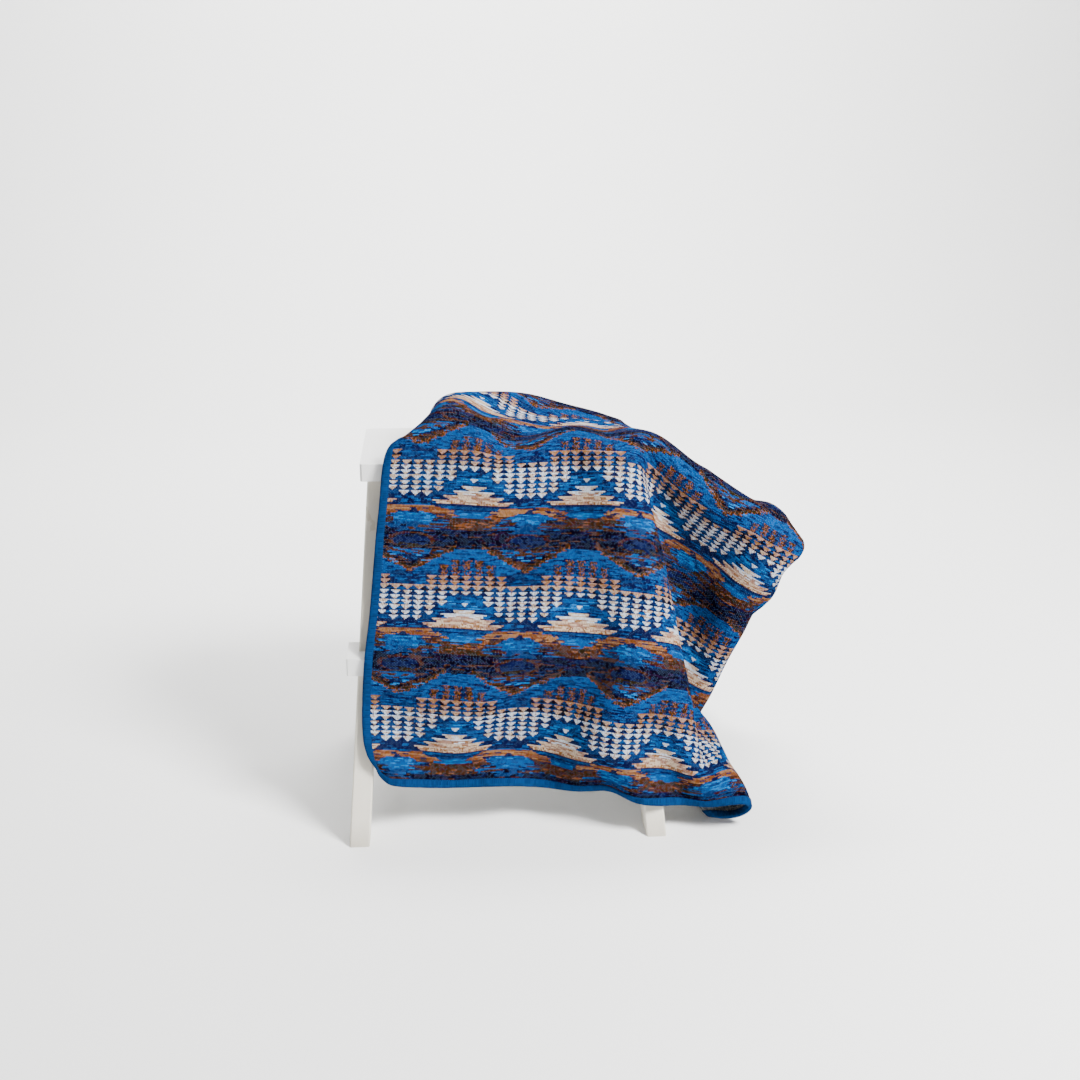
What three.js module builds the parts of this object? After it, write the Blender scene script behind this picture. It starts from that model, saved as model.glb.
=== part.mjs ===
import * as THREE from 'three';

// Jacquard blanket with a serged edge binding, draped over a painted two-step stool.
// Millimetres, +Z up. The blanket's front panel faces -Y.
// Cloth places are (u, v): u across from the left binding, v up from the front hem.

const CLOTH_WIDTH = 762;
const CLOTH_LENGTH = 1016;
const CLOTH_THICK = 3;
const CORNER_RADIUS = 42;

const BINDING_DEEP = 12;
const BINDING_THICK = 6.4;
const BINDING_WEB = 1.7;
const FIT_GAP = 0.3;

const STOOL_HEIGHT = 500;
const BOARD_THICK = 25;
const SLAB_HALF_WIDTH = 197.5;
const SLAB_DEEP = 234;
const STEP_TOP = 250;
const STEP_HALF_WIDTH = 220;
const STEP_FRONT = -107;
const STEP_REAR = -40;
const LEG_WIDE = 28;
const LEG_DEEP = 50;
const FOOT_OUTER = 221;
const LEG_TOP_OUTER = 188;
const FRONT_FOOT_Y = -179;
const FRONT_LEG_TOP_Y = 15;
const REAR_FOOT_Y = 176;
const RAIL_HIGH = 34;
const RAIL_THICK = 20;
const EDGE_EASE = 2;

// How the cloth was laid on the stool before it settled.
const LEFT_EDGE_X = -171;
const FRONT_CREASE_V = 484;
const LAID_TURN = THREE.MathUtils.degToRad(3);
const LAID_DROOP = 0.6;

// Settling: a net of equal cells with stretch, slant and bend limits under its own weight.
const NET = { across: 45, along: 60 };
const STEPS = 1000;
const RAMP_STEPS = 400;
const LAST_STEPS = 200;
const SINK = 0.01;
const CARRY = 0.98;
const SLANT_HOLD = 0.25;
const SHARPEST = 1.3;
const SHARP_HOLD = 0.6;
const NEAR_BEND = 0.04;
const FAR_BEND = 0.02;
const GRIP = 0.25;
const STAND_OFF = 6.2;
const RIM_OFF = 7;
const FLOOR_OFF = 4.8;
const PARTING_STEPS = 500;
const LIST_EVERY = 25;
const LIST_NEAR = 40;
const LAYER_GAP = 14;
const FAR_CELLS = 3;
const EVEN_PASSES = 3;
const EVEN_SHARE = 0.4;
const CLEARING_PASSES = 20;

// Places of the folds. Each row names a fold, the cloth place (u, v) in it and where it lies.
const HEM_AND_SIDE = [
  { fold: 'left edge at crease', u: 0, v: 470, x: -175, y: -10, z: 500, grip: 0.3 },
  { fold: 'left edge above step', u: 0, v: 350, x: -180, y: -55, z: 395, grip: 0.3 },
  { fold: 'left edge below step', u: 0, v: 155, x: -200, y: -115, z: 220 },
  { fold: 'left edge on the leg', u: 0, v: 70, x: -200, y: -130, z: 140 },
  { fold: 'left corner', u: 15, v: 15, x: -185, y: -145, z: 95, reach: 20, grip: 0.3 },
  { fold: 'left hem', u: 60, v: 0, x: -150, y: -150, z: 80, reach: 20 },
  { fold: 'hem middle', u: 200, v: 0, x: -10, y: -135, z: 65 },
  { fold: 'hem dip', u: 340, v: 0, x: 125, y: -140, z: 50 },
  { fold: 'hem by the leg', u: 390, v: 0, x: 165, y: -155, z: 50, reach: 20 },
  { fold: 'hem on the leg', u: 440, v: 0, x: 205, y: -170, z: 50, reach: 20 },
  { fold: 'hem pushed out', u: 540, v: 0, x: 285, y: -165, z: 40, reach: 20 },
  { fold: 'hem corner', u: 600, v: 2, x: 335, y: -160, z: 40, reach: 16, grip: 0.4 },
  { fold: 'curl, outer side', u: 620, v: 2, x: 345, y: -165, z: 30, reach: 14, grip: 0.4 },
  { fold: 'curl, on the floor', u: 645, v: 2, x: 330, y: -170, z: 0, reach: 14, grip: 0.5 },
  { fold: 'curl, low', u: 665, v: 3, x: 310, y: -170, z: 0, reach: 14, grip: 0.5 },
  { fold: 'curl, inner side', u: 685, v: 5, x: 290, y: -170, z: 15, reach: 14, grip: 0.5 },
  { fold: 'curl, turned up', u: 700, v: 10, x: 300, y: -155, z: 20, reach: 14, grip: 0.2 },
  { fold: 'hidden corner', u: 750, v: 60, x: 275, y: -70, z: 15, grip: 0.25 },
];

const FRONT_PANEL = [
  { fold: 'upper left', u: 130, v: 425, x: -40, y: -30, z: 460 },
  { fold: 'upper right', u: 295, v: 425, x: 125, y: -30, z: 460 },
  { fold: 'middle left', u: 130, v: 250, x: -55, y: -85, z: 300 },
  { fold: 'middle right', u: 295, v: 250, x: 105, y: -90, z: 300 },
  { fold: 'lower left', u: 130, v: 75, x: -75, y: -125, z: 130 },
  { fold: 'lower right', u: 295, v: 75, x: 80, y: -125, z: 120 },
  { fold: 'low by the ridge', u: 460, v: 75, x: 220, y: -145, z: 100 },
];

const RIDGE_AND_VALLEY = [
  { fold: 'ridge at slab corner', u: 390, v: 490, x: 205, y: -10, z: 520 },
  { fold: 'panel by the ridge', u: 380, v: 430, x: 190, y: -35, z: 450 },
  { fold: 'ridge upper', u: 415, v: 415, x: 215, y: -40, z: 435, reach: 20 },
  { fold: 'steep face behind ridge', u: 505, v: 415, x: 255, y: 10, z: 380, reach: 20 },
  { fold: 'ridge middle', u: 430, v: 350, x: 230, y: -65, z: 355, reach: 20 },
  { fold: 'ridge above step', u: 445, v: 270, x: 245, y: -90, z: 290, reach: 20 },
  { fold: 'ridge below step', u: 500, v: 180, x: 265, y: -110, z: 185, reach: 20 },
  { fold: 'ridge lower', u: 510, v: 140, x: 270, y: -120, z: 145, reach: 20 },
  { fold: 'panel turning back', u: 540, v: 90, x: 280, y: -130, z: 100, reach: 20, grip: 0.3 },
  { fold: 'ridge turned out', u: 585, v: 85, x: 300, y: -120, z: 90, reach: 20, grip: 0.3 },
  { fold: 'ridge foot', u: 620, v: 70, x: 320, y: -110, z: 60, reach: 20, grip: 0.3 },
  { fold: 'fold behind the ridge', u: 600, v: 155, x: 260, y: -45, z: 140, reach: 20 },
  { fold: 'valley upper', u: 520, v: 350, x: 245, y: 25, z: 315, reach: 22 },
  { fold: 'valley lower', u: 545, v: 275, x: 230, y: 10, z: 235, reach: 22 },
];

const WING = [
  { fold: 'crest start', u: 400, v: 550, x: 220, y: 20, z: 530 },
  { fold: 'crest quarter', u: 455, v: 555, x: 275, y: 10, z: 495, reach: 20, grip: 0.35 },
  { fold: 'crest middle', u: 505, v: 555, x: 315, y: 5, z: 475, reach: 20, grip: 0.35 },
  { fold: 'crest past middle', u: 560, v: 555, x: 355, y: 5, z: 450, reach: 20, grip: 0.35 },
  { fold: 'crest before the nose', u: 605, v: 555, x: 390, y: 0, z: 425, reach: 20, grip: 0.35 },
  { fold: 'crest end', u: 655, v: 555, x: 420, y: 0, z: 405, reach: 20, grip: 0.35 },
  { fold: 'band by the crest, inner', u: 450, v: 530, x: 255, y: -5, z: 495, reach: 20 },
  { fold: 'band by the crest, middle', u: 550, v: 530, x: 335, y: -15, z: 445, reach: 20 },
  { fold: 'band by the crest, outer', u: 650, v: 530, x: 410, y: -15, z: 390, reach: 20 },
  { fold: 'nose', u: 705, v: 545, x: 435, y: 10, z: 380, reach: 20, grip: 0.3 },
  { fold: 'wing face inner', u: 540, v: 445, x: 305, y: 5, z: 385 },
  { fold: 'wing face outer', u: 625, v: 485, x: 375, y: -35, z: 385 },
  { fold: 'wing face middle', u: 625, v: 430, x: 355, y: -30, z: 330, reach: 20, grip: 0.3 },
  { fold: 'wing face edge', u: 690, v: 450, x: 410, y: -10, z: 335, reach: 20, grip: 0.35 },
  { fold: 'wing outline, upper', u: 715, v: 490, x: 435, y: 10, z: 350, reach: 20, grip: 0.3 },
  { fold: 'wing outline, middle', u: 710, v: 410, x: 410, y: 10, z: 295, reach: 20, grip: 0.3 },
  { fold: 'wing outline, lower', u: 700, v: 350, x: 380, y: 20, z: 255, reach: 20, grip: 0.3 },
  { fold: 'wing waist', u: 625, v: 310, x: 300, y: 15, z: 225 },
  { fold: 'wing below waist', u: 625, v: 250, x: 290, y: 15, z: 165 },
  { fold: 'wing tuck, upper', u: 700, v: 305, x: 345, y: 20, z: 210, reach: 20, grip: 0.35 },
  { fold: 'wing tuck', u: 700, v: 270, x: 325, y: 25, z: 170, reach: 20, grip: 0.35 },
  { fold: 'wing tuck, lower', u: 695, v: 230, x: 315, y: 20, z: 135, reach: 20, grip: 0.35 },
  { fold: 'nose outline', u: 720, v: 515, x: 440, y: 15, z: 365, reach: 20, grip: 0.35 },
  { fold: 'turned edge, at the nose', u: 762, v: 520, x: 430, y: 65, z: 340, reach: 20, grip: 0.35 },
  { fold: 'wing low', u: 690, v: 180, x: 280, y: 5, z: 105 },
  { fold: 'wing foot', u: 690, v: 110, x: 270, y: -40, z: 75 },
  { fold: 'behind crest, start', u: 410, v: 630, x: 230, y: 85, z: 490 },
  { fold: 'behind crest, inner', u: 470, v: 630, x: 285, y: 65, z: 440 },
  { fold: 'behind crest, middle', u: 570, v: 630, x: 340, y: 60, z: 395 },
  { fold: 'behind crest, outer', u: 690, v: 630, x: 400, y: 60, z: 350 },
  { fold: 'turned edge, top', u: 762, v: 570, x: 410, y: 65, z: 350 },
  { fold: 'turned edge, upper', u: 762, v: 470, x: 415, y: 55, z: 310, reach: 20, grip: 0.3 },
  { fold: 'turned edge, middle', u: 762, v: 390, x: 385, y: 60, z: 260, reach: 20, grip: 0.3 },
  { fold: 'turned edge, low', u: 762, v: 320, x: 350, y: 60, z: 210, reach: 20, grip: 0.3 },
  { fold: 'turned edge, lower', u: 762, v: 250, x: 305, y: 60, z: 150 },
];

const CROWN = [
  { fold: 'left edge, front', u: 0, v: 500, x: -150, y: -5, z: 520, reach: 20, grip: 0.3 },
  { fold: 'left edge, raised', u: 0, v: 520, x: -150, y: 5, z: 535, reach: 18, grip: 0.35 },
  { fold: 'flank ridge, foot', u: 20, v: 535, x: -130, y: 10, z: 545, reach: 20, grip: 0.3 },
  { fold: 'flank ridge, low', u: 40, v: 560, x: -105, y: 30, z: 555, reach: 20, grip: 0.3 },
  { fold: 'flank ridge, high', u: 70, v: 585, x: -80, y: 45, z: 580, reach: 20, grip: 0.3 },
  { fold: 'flank ridge, top', u: 100, v: 620, x: -60, y: 80, z: 585, reach: 20, grip: 0.3 },
  { fold: 'left edge, turned back', u: 0, v: 560, x: -100, y: 60, z: 520, reach: 20, grip: 0.3 },
  { fold: 'left edge, falling', u: 0, v: 605, x: -85, y: 95, z: 510, grip: 0.25 },
  { fold: 'left edge, on the slab', u: 0, v: 660, x: -85, y: 145, z: 505, grip: 0.2 },
  { fold: 'left edge, back', u: 0, v: 720, x: -90, y: 205, z: 510, grip: 0.25 },
  { fold: 'left edge, over the rear', u: 0, v: 770, x: -95, y: 250, z: 500, grip: 0.3 },
  { fold: 'roll, left', u: 120, v: 520, x: -35, y: 0, z: 545 },
  { fold: 'crown slope', u: 130, v: 585, x: -35, y: 65, z: 560 },
  { fold: 'crown peak', u: 125, v: 650, x: -40, y: 115, z: 580, reach: 20, grip: 0.3 },
  { fold: 'crown back', u: 100, v: 720, x: -45, y: 175, z: 530 },
  { fold: 'crown fall', u: 100, v: 790, x: -40, y: 235, z: 495 },
  { fold: 'saddle front', u: 200, v: 595, x: 40, y: 85, z: 540 },
  { fold: 'saddle', u: 200, v: 660, x: 45, y: 145, z: 540 },
  { fold: 'roll, middle', u: 260, v: 500, x: 90, y: -5, z: 530 },
  { fold: 'top, middle', u: 260, v: 595, x: 100, y: 85, z: 530, grip: 0.3 },
  { fold: 'top, middle back', u: 260, v: 665, x: 105, y: 150, z: 530 },
  { fold: 'rear edge, middle', u: 250, v: 735, x: 95, y: 220, z: 540 },
  { fold: 'top, right', u: 330, v: 595, x: 165, y: 85, z: 525 },
  { fold: 'top, right back', u: 330, v: 645, x: 170, y: 130, z: 525 },
  { fold: 'rear edge, right', u: 345, v: 705, x: 190, y: 190, z: 515 },
  { fold: 'rear left', u: 0, v: 1000, x: -110, y: 260, z: 270, reach: 40, grip: 0.1 },
  { fold: 'rear side, high', u: 762, v: 760, x: 410, y: 150, z: 230, reach: 36, grip: 0.15 },
  { fold: 'rear side, low', u: 762, v: 880, x: 385, y: 215, z: 140, reach: 36, grip: 0.15 },
  { fold: 'rear corner', u: 750, v: 1000, x: 350, y: 270, z: 60, reach: 36, grip: 0.15 },
];
const FOLDS = [...HEM_AND_SIDE, ...FRONT_PANEL, ...RIDGE_AND_VALLEY, ...WING, ...CROWN];
const FOLD_REACH = 26;
const FOLD_GRIP = 0.2;

// Boards and leaning legs the cloth lies on: centre, half sizes and unit axes.
const SQUARE = [
  [1, 0, 0],
  [0, 1, 0],
  [0, 0, 1],
];
const LEG_RISE = STOOL_HEIGHT - BOARD_THICK;

function leaningLeg(side, footY, topY) {
  const up = new THREE.Vector3(side * (LEG_TOP_OUTER - FOOT_OUTER), topY - footY, LEG_RISE);
  const half = up.length() / 2;
  up.normalize();
  const across = new THREE.Vector3(1, 0, 0).addScaledVector(up, -up.x).normalize();
  const into = up.clone().cross(across);
  const foot = new THREE.Vector3(side * (FOOT_OUTER - LEG_WIDE / 2), footY + LEG_DEEP / 2, 0);
  return {
    centre: foot.addScaledVector(up, half).toArray(),
    half: [LEG_WIDE / 2, (LEG_DEEP / 2) * into.y, half],
    axes: [across.toArray(), into.toArray(), up.toArray()],
  };
}

const RESTS = [
  {
    centre: [0, SLAB_DEEP / 2, STOOL_HEIGHT - BOARD_THICK / 2],
    half: [SLAB_HALF_WIDTH, SLAB_DEEP / 2, BOARD_THICK / 2],
    axes: SQUARE,
  },
  {
    centre: [0, (STEP_FRONT + STEP_REAR) / 2, STEP_TOP - BOARD_THICK / 2],
    half: [STEP_HALF_WIDTH, (STEP_REAR - STEP_FRONT) / 2, BOARD_THICK / 2],
    axes: SQUARE,
  },
  leaningLeg(1, FRONT_FOOT_Y, FRONT_LEG_TOP_Y),
  leaningLeg(-1, FRONT_FOOT_Y, FRONT_LEG_TOP_Y),
  leaningLeg(1, REAR_FOOT_Y, REAR_FOOT_Y),
  leaningLeg(-1, REAR_FOOT_Y, REAR_FOOT_Y),
];

const CELL = CLOTH_WIDTH / NET.across;
const COLUMNS = NET.across + 1;
const ROWS = NET.along + 1;
const at = (i, j) => 3 * (i * ROWS + j);

// The cloth as first laid: down the front over the step, across the slab and down the rear.
function laidOut() {
  const place = new Float64Array(3 * COLUMNS * ROWS);
  const top = { y: -7, z: STOOL_HEIGHT + 6 };
  const edge = { y: STEP_FRONT - 7, z: STEP_TOP + 2 };
  const slope = Math.hypot(edge.y - top.y, edge.z - top.z);
  const back = SLAB_DEEP + 14;
  for (let i = 0; i < COLUMNS; i++) {
    for (let j = 0; j < ROWS; j++) {
      const u = i * CELL;
      const v = j * CELL - FRONT_CREASE_V;
      const along = v * Math.cos(LAID_TURN) - u * Math.sin(LAID_TURN) * LAID_DROOP;
      const k = at(i, j);
      place[k] = LEFT_EDGE_X + u * Math.cos(LAID_TURN) + v * Math.sin(LAID_TURN);
      if (along < 0) {
        const share = Math.min(-along / slope, 1);
        place[k + 1] = top.y + (edge.y - top.y) * share;
        place[k + 2] = top.z + (edge.z - top.z) * share - Math.max(-along - slope, 0);
      } else {
        place[k + 1] = top.y + Math.min(along, back);
        place[k + 2] = top.z - Math.max(along - back, 0);
      }
    }
  }
  return place;
}

// Moves two points of the net towards the length between them.
function pull(place, a, b, length, stiff, onlyApart) {
  const x = place[b] - place[a];
  const y = place[b + 1] - place[a + 1];
  const z = place[b + 2] - place[a + 2];
  const now = Math.sqrt(x * x + y * y + z * z) + 1e-9;
  let share = ((now - length) / now) * 0.5 * stiff;
  if (onlyApart && share > 0) share = 0;
  place[a] += x * share;
  place[a + 1] += y * share;
  place[a + 2] += z * share;
  place[b] -= x * share;
  place[b + 1] -= y * share;
  place[b + 2] -= z * share;
}

// Pulls every pair that is (di, dj) cells apart, in turns that share no point.
function pullAll(place, di, dj, length, stiff, onlyApart) {
  const stride = Math.max(di, Math.abs(dj));
  const first = dj < 0 ? -dj : 0;
  const last = dj < 0 ? ROWS - 1 : ROWS - 1 - dj;
  for (let turn = 0; turn < 2 * stride; turn++) {
    if (di > 0) {
      for (let i = turn; i + di < COLUMNS; i += 2 * stride) {
        for (let j = first; j <= last; j++) {
          pull(place, at(i, j), at(i + di, j + dj), length, stiff, onlyApart);
        }
      }
    } else {
      for (let j = turn; j + dj < ROWS; j += 2 * stride) {
        for (let i = 0; i < COLUMNS; i++) {
          pull(place, at(i, j), at(i, j + dj), length, stiff, onlyApart);
        }
      }
    }
  }
}

function tighten(place) {
  pullAll(place, 1, 0, CELL, 1, false);
  pullAll(place, 0, 1, CELL, 1, false);
  pullAll(place, 1, 1, CELL * Math.SQRT2, SLANT_HOLD, false);
  pullAll(place, 1, -1, CELL * Math.SQRT2, SLANT_HOLD, false);
  pullAll(place, 2, 0, 2 * CELL, NEAR_BEND, true);
  pullAll(place, 0, 2, 2 * CELL, NEAR_BEND, true);
  pullAll(place, 2, 0, SHARPEST * CELL, SHARP_HOLD, true);
  pullAll(place, 0, 2, SHARPEST * CELL, SHARP_HOLD, true);
  pullAll(place, 4, 0, 4 * CELL, FAR_BEND, true);
  pullAll(place, 0, 4, 4 * CELL, FAR_BEND, true);
}

// The way out of a board grown by the stand-off: unit direction and distance, or nothing.
function wayOut(board, x, y, z, off) {
  const { centre, half, axes } = board;
  const d = [0, 0, 0];
  const past = [0, 0, 0];
  for (let n = 0; n < 3; n++) {
    const axis = axes[n];
    d[n] = (x - centre[0]) * axis[0] + (y - centre[1]) * axis[1] + (z - centre[2]) * axis[2];
    past[n] = Math.abs(d[n]) - half[n];
    if (past[n] > off) return null;
  }
  const out = past.map((value) => Math.max(value, 0));
  const far = Math.sqrt(out[0] * out[0] + out[1] * out[1] + out[2] * out[2]);
  if (far >= off) return null;
  const nearest = past.indexOf(Math.max(...past));
  const local = d.map((value, n) => {
    if (far > 0) return (out[n] / far) * Math.sign(value);
    return n === nearest ? Math.sign(value) : 0;
  });
  const lift = far > 0 ? off - far : off - past[nearest];
  const normal = [0, 1, 2].map((n) => local[0] * axes[0][n] + local[1] * axes[1][n] + local[2] * axes[2][n]);
  return { normal, lift };
}

const onRim = (i, j) => i === 0 || j === 0 || i === COLUMNS - 1 || j === ROWS - 1;

// Keeps the net's points off a board or leg, and holds back their slide there.
function layOn(place, before, board) {
  for (let i = 0; i < COLUMNS; i++) {
    for (let j = 0; j < ROWS; j++) {
      const k = at(i, j);
      const off = onRim(i, j) ? RIM_OFF : STAND_OFF;
      const found = wayOut(board, place[k], place[k + 1], place[k + 2], off);
      if (!found) continue;
      const { normal, lift } = found;
      const step = [0, 1, 2].map((n) => place[k + n] + normal[n] * lift - before[k + n]);
      const outward = step[0] * normal[0] + step[1] * normal[1] + step[2] * normal[2];
      for (let n = 0; n < 3; n++) {
        place[k + n] += normal[n] * lift - (step[n] - normal[n] * outward) * GRIP;
      }
    }
  }
}

// Adds pushes up, then gives each point the mean of its own.
function pushes(place) {
  const sum = new Float64Array(place.length);
  const count = new Float64Array(place.length / 3);
  return {
    add(k, x, y, z) {
      sum[k] += x;
      sum[k + 1] += y;
      sum[k + 2] += z;
      count[k / 3] += 1;
    },
    apply() {
      for (let k = 0; k < place.length; k++) {
        const n = count[Math.floor(k / 3)];
        if (n > 0) place[k] += sum[k] / n;
      }
    },
  };
}

// Keeps the middles of the net's cells and of their sides off the boards and legs.
function layBetween(place) {
  for (const [di, dj] of [[1, 0], [0, 1], [1, 1]]) {
    const pushed = pushes(place);
    for (let i = 0; i + di < COLUMNS; i++) {
      for (let j = 0; j + dj < ROWS; j++) {
        const around = [at(i, j), at(i + di, j + dj)];
        if (di && dj) around.push(at(i + 1, j), at(i, j + 1));
        const middle = [0, 1, 2].map((n) => around.reduce((sum, k) => sum + place[k + n], 0) / around.length);
        const off = onRim(i, j) && onRim(i + di, j + dj) ? RIM_OFF : STAND_OFF;
        for (const board of RESTS) {
          const found = wayOut(board, middle[0], middle[1], middle[2], off);
          if (!found) continue;
          const [x, y, z] = found.normal.map((value) => value * found.lift);
          for (const k of around) pushed.add(k, x, y, z);
        }
      }
    }
    pushed.apply();
  }
}

// Lists pairs of points that lie near each other though far apart in the cloth.
function nearPairs(place) {
  const pairs = [];
  for (let i = 0; i < COLUMNS; i++) {
    for (let j = 0; j < ROWS; j++) {
      const a = at(i, j);
      for (let p = i; p < COLUMNS; p++) {
        for (let q = p === i ? j + FAR_CELLS : 0; q < ROWS; q++) {
          if (p - i < FAR_CELLS && Math.abs(q - j) < FAR_CELLS) continue;
          const b = at(p, q);
          const x = place[b] - place[a];
          if (x > LIST_NEAR || x < -LIST_NEAR) continue;
          const y = place[b + 1] - place[a + 1];
          const z = place[b + 2] - place[a + 2];
          if (x * x + y * y + z * z < LIST_NEAR * LIST_NEAR) pairs.push([a, b]);
        }
      }
    }
  }
  return pairs;
}

// Moves layers that have come too near each other apart.
function partLayers(place, pairs) {
  const pushed = pushes(place);
  for (const [a, b] of pairs) {
    const x = place[b] - place[a];
    const y = place[b + 1] - place[a + 1];
    const z = place[b + 2] - place[a + 2];
    const far = Math.sqrt(x * x + y * y + z * z) + 1e-9;
    if (far >= LAYER_GAP) continue;
    const share = ((LAYER_GAP - far) / far) * 0.5;
    pushed.add(a, -x * share, -y * share, -z * share);
    pushed.add(b, x * share, y * share, z * share);
  }
  pushed.apply();
}

function netPlace(place, u, v) {
  const s = u / CELL;
  const t = v / CELL;
  const i = Math.min(Math.max(Math.floor(s), 0), COLUMNS - 2);
  const j = Math.min(Math.max(Math.floor(t), 0), ROWS - 2);
  const a = s - i;
  const b = t - j;
  return [0, 1, 2].map(
    (n) =>
      (place[at(i, j) + n] * (1 - a) + place[at(i + 1, j) + n] * a) * (1 - b) +
      (place[at(i, j + 1) + n] * (1 - a) + place[at(i + 1, j + 1) + n] * a) * b
  );
}

function settle() {
  let place = laidOut();
  let before = place.slice();
  const folds = FOLDS.map((row) => {
    const reach = row.reach ?? FOLD_REACH;
    const grip = row.grip ?? FOLD_GRIP;
    const weights = [];
    for (let i = 0; i < COLUMNS; i++) {
      for (let j = 0; j < ROWS; j++) {
        const far = (i * CELL - row.u) ** 2 + (j * CELL - row.v) ** 2;
        const weight = Math.exp(-far / (2 * reach * reach)) * grip;
        if (weight > 0.002) weights.push([at(i, j), weight]);
      }
    }
    return { row, weights, start: netPlace(place, row.u, row.v) };
  });
  let pairs = [];
  for (let step = 0; step < STEPS; step++) {
    const next = new Float64Array(place.length);
    for (let k = 0; k < place.length; k++) {
      next[k] = place[k] + (place[k] - before[k]) * CARRY - (k % 3 === 2 ? SINK : 0);
    }
    before = place;
    place = next;
    const part = Math.min(1, (step + 1) / RAMP_STEPS);
    const ease = part * part * (3 - 2 * part);
    const last = step >= STEPS - LAST_STEPS;
    for (const { row, weights, start } of folds) {
      const now = netPlace(place, row.u, row.v);
      const goal = [row.x, row.y, row.z];
      const move = goal.map((value, n) => start[n] + (value - start[n]) * ease - now[n]);
      for (const [k, weight] of weights) {
        for (let n = 0; n < 3; n++) place[k + n] += move[n] * weight * (last ? 0.25 : 1);
      }
    }
    for (let pass = 0; pass < (last ? 4 : 2); pass++) tighten(place);
    if (step >= STEPS - PARTING_STEPS) {
      if (step % LIST_EVERY === 0) pairs = nearPairs(place);
      partLayers(place, pairs);
    }
    if (last) layBetween(place);
    for (const board of RESTS) layOn(place, before, board);
    for (let k = 2; k < place.length; k += 3) place[k] = Math.max(place[k], FLOOR_OFF);
  }
  return place;
}

// Evens out small kinks: each point moves towards the middle of its neighbours.
function evened(place, passes, share) {
  let now = place;
  for (let pass = 0; pass < passes; pass++) {
    const next = now.slice();
    for (let i = 0; i < COLUMNS; i++) {
      for (let j = 0; j < ROWS; j++) {
        const near = [];
        if (i > 0 && i < COLUMNS - 1) near.push(at(i - 1, j), at(i + 1, j));
        if (j > 0 && j < ROWS - 1) near.push(at(i, j - 1), at(i, j + 1));
        for (let n = 0; n < 3 && near.length; n++) {
          const middle = near.reduce((sum, k) => sum + now[k + n], 0) / near.length;
          next[at(i, j) + n] += (middle - now[at(i, j) + n]) * share;
        }
      }
    }
    now = next;
  }
  for (let pass = 0; pass < CLEARING_PASSES; pass++) {
    layBetween(now);
    for (const board of RESTS) layOn(now, now.slice(), board);
  }
  return now;
}

const net = evened(settle(), EVEN_PASSES, EVEN_SHARE);

// Smooth reading of the settled net at any cloth place.
function spline(p, q, r, s, t) {
  return (
    q + 0.5 * t * (r - p + t * (2 * p - 5 * q + 4 * r - s + t * (3 * (q - r) + s - p)))
  );
}

function clothPoint(u, v) {
  const s = Math.min(Math.max(u / CELL, 0), COLUMNS - 1);
  const t = Math.min(Math.max(v / CELL, 0), ROWS - 1);
  const i = Math.min(Math.floor(s), COLUMNS - 2);
  const j = Math.min(Math.floor(t), ROWS - 2);
  const read = (ci, cj, n) => {
    const a = Math.min(Math.max(ci, 0), COLUMNS - 1);
    const b = Math.min(Math.max(cj, 0), ROWS - 1);
    const value = net[at(a, b) + n];
    const inA = a === 0 ? 1 : COLUMNS - 2;
    const inB = b === 0 ? 1 : ROWS - 2;
    let extra = 0;
    if (ci !== a) extra += value - net[at(inA, b) + n];
    if (cj !== b) extra += value - net[at(a, inB) + n];
    return value + extra;
  };
  const point = [0, 1, 2].map((n) => {
    const across = [-1, 0, 1, 2].map((dj) =>
      spline(...[-1, 0, 1, 2].map((di) => read(i + di, j + dj, n)), s - i)
    );
    return spline(...across, t - j);
  });
  return new THREE.Vector3(...point);
}

function clothNormal(u, v) {
  const d = 3;
  const alongU = clothPoint(u + d, v).sub(clothPoint(u - d, v));
  const alongV = clothPoint(u, v + d).sub(clothPoint(u, v - d));
  return alongU.cross(alongV).normalize();
}

// Rounds the corners: inside each corner square, square rings become arcs.
function rounded(u, v) {
  const side = (value, size) => {
    if (value < CORNER_RADIUS) return [CORNER_RADIUS - value, -1, CORNER_RADIUS];
    if (value > size - CORNER_RADIUS) return [value - size + CORNER_RADIUS, 1, size - CORNER_RADIUS];
    return [0, 1, value];
  };
  const [x, signU, baseU] = side(u, CLOTH_WIDTH);
  const [y, signV, baseV] = side(v, CLOTH_LENGTH);
  if (x === 0 || y === 0) return [u, v];
  const ring = Math.max(x, y);
  const angle = x >= y ? (Math.PI / 4) * (y / x) : Math.PI / 2 - (Math.PI / 4) * (x / y);
  return [baseU + signU * ring * Math.cos(angle), baseV + signV * ring * Math.sin(angle)];
}

// Grid lines: cloth edge in the binding, binding's inner edge, two arcs, then even cells.
function gridLines(size, cells) {
  const inset = [BINDING_WEB + FIT_GAP, BINDING_DEEP, 27, CORNER_RADIUS];
  const middle = [];
  for (let n = 1; n < cells; n++) {
    middle.push(CORNER_RADIUS + ((size - 2 * CORNER_RADIUS) * n) / cells);
  }
  return [...inset, ...middle, ...inset.map((value) => size - value).reverse()];
}

const LINES_U = gridLines(CLOTH_WIDTH, 39);
const LINES_V = gridLines(CLOTH_LENGTH, 53);
const gridPoint = [];
const gridNormal = [];
for (const u of LINES_U) {
  const points = [];
  const normals = [];
  for (const v of LINES_V) {
    const [ru, rv] = rounded(u, v);
    points.push(clothPoint(ru, rv));
    normals.push(clothNormal(ru, rv));
  }
  gridPoint.push(points);
  gridNormal.push(normals);
}

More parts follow.
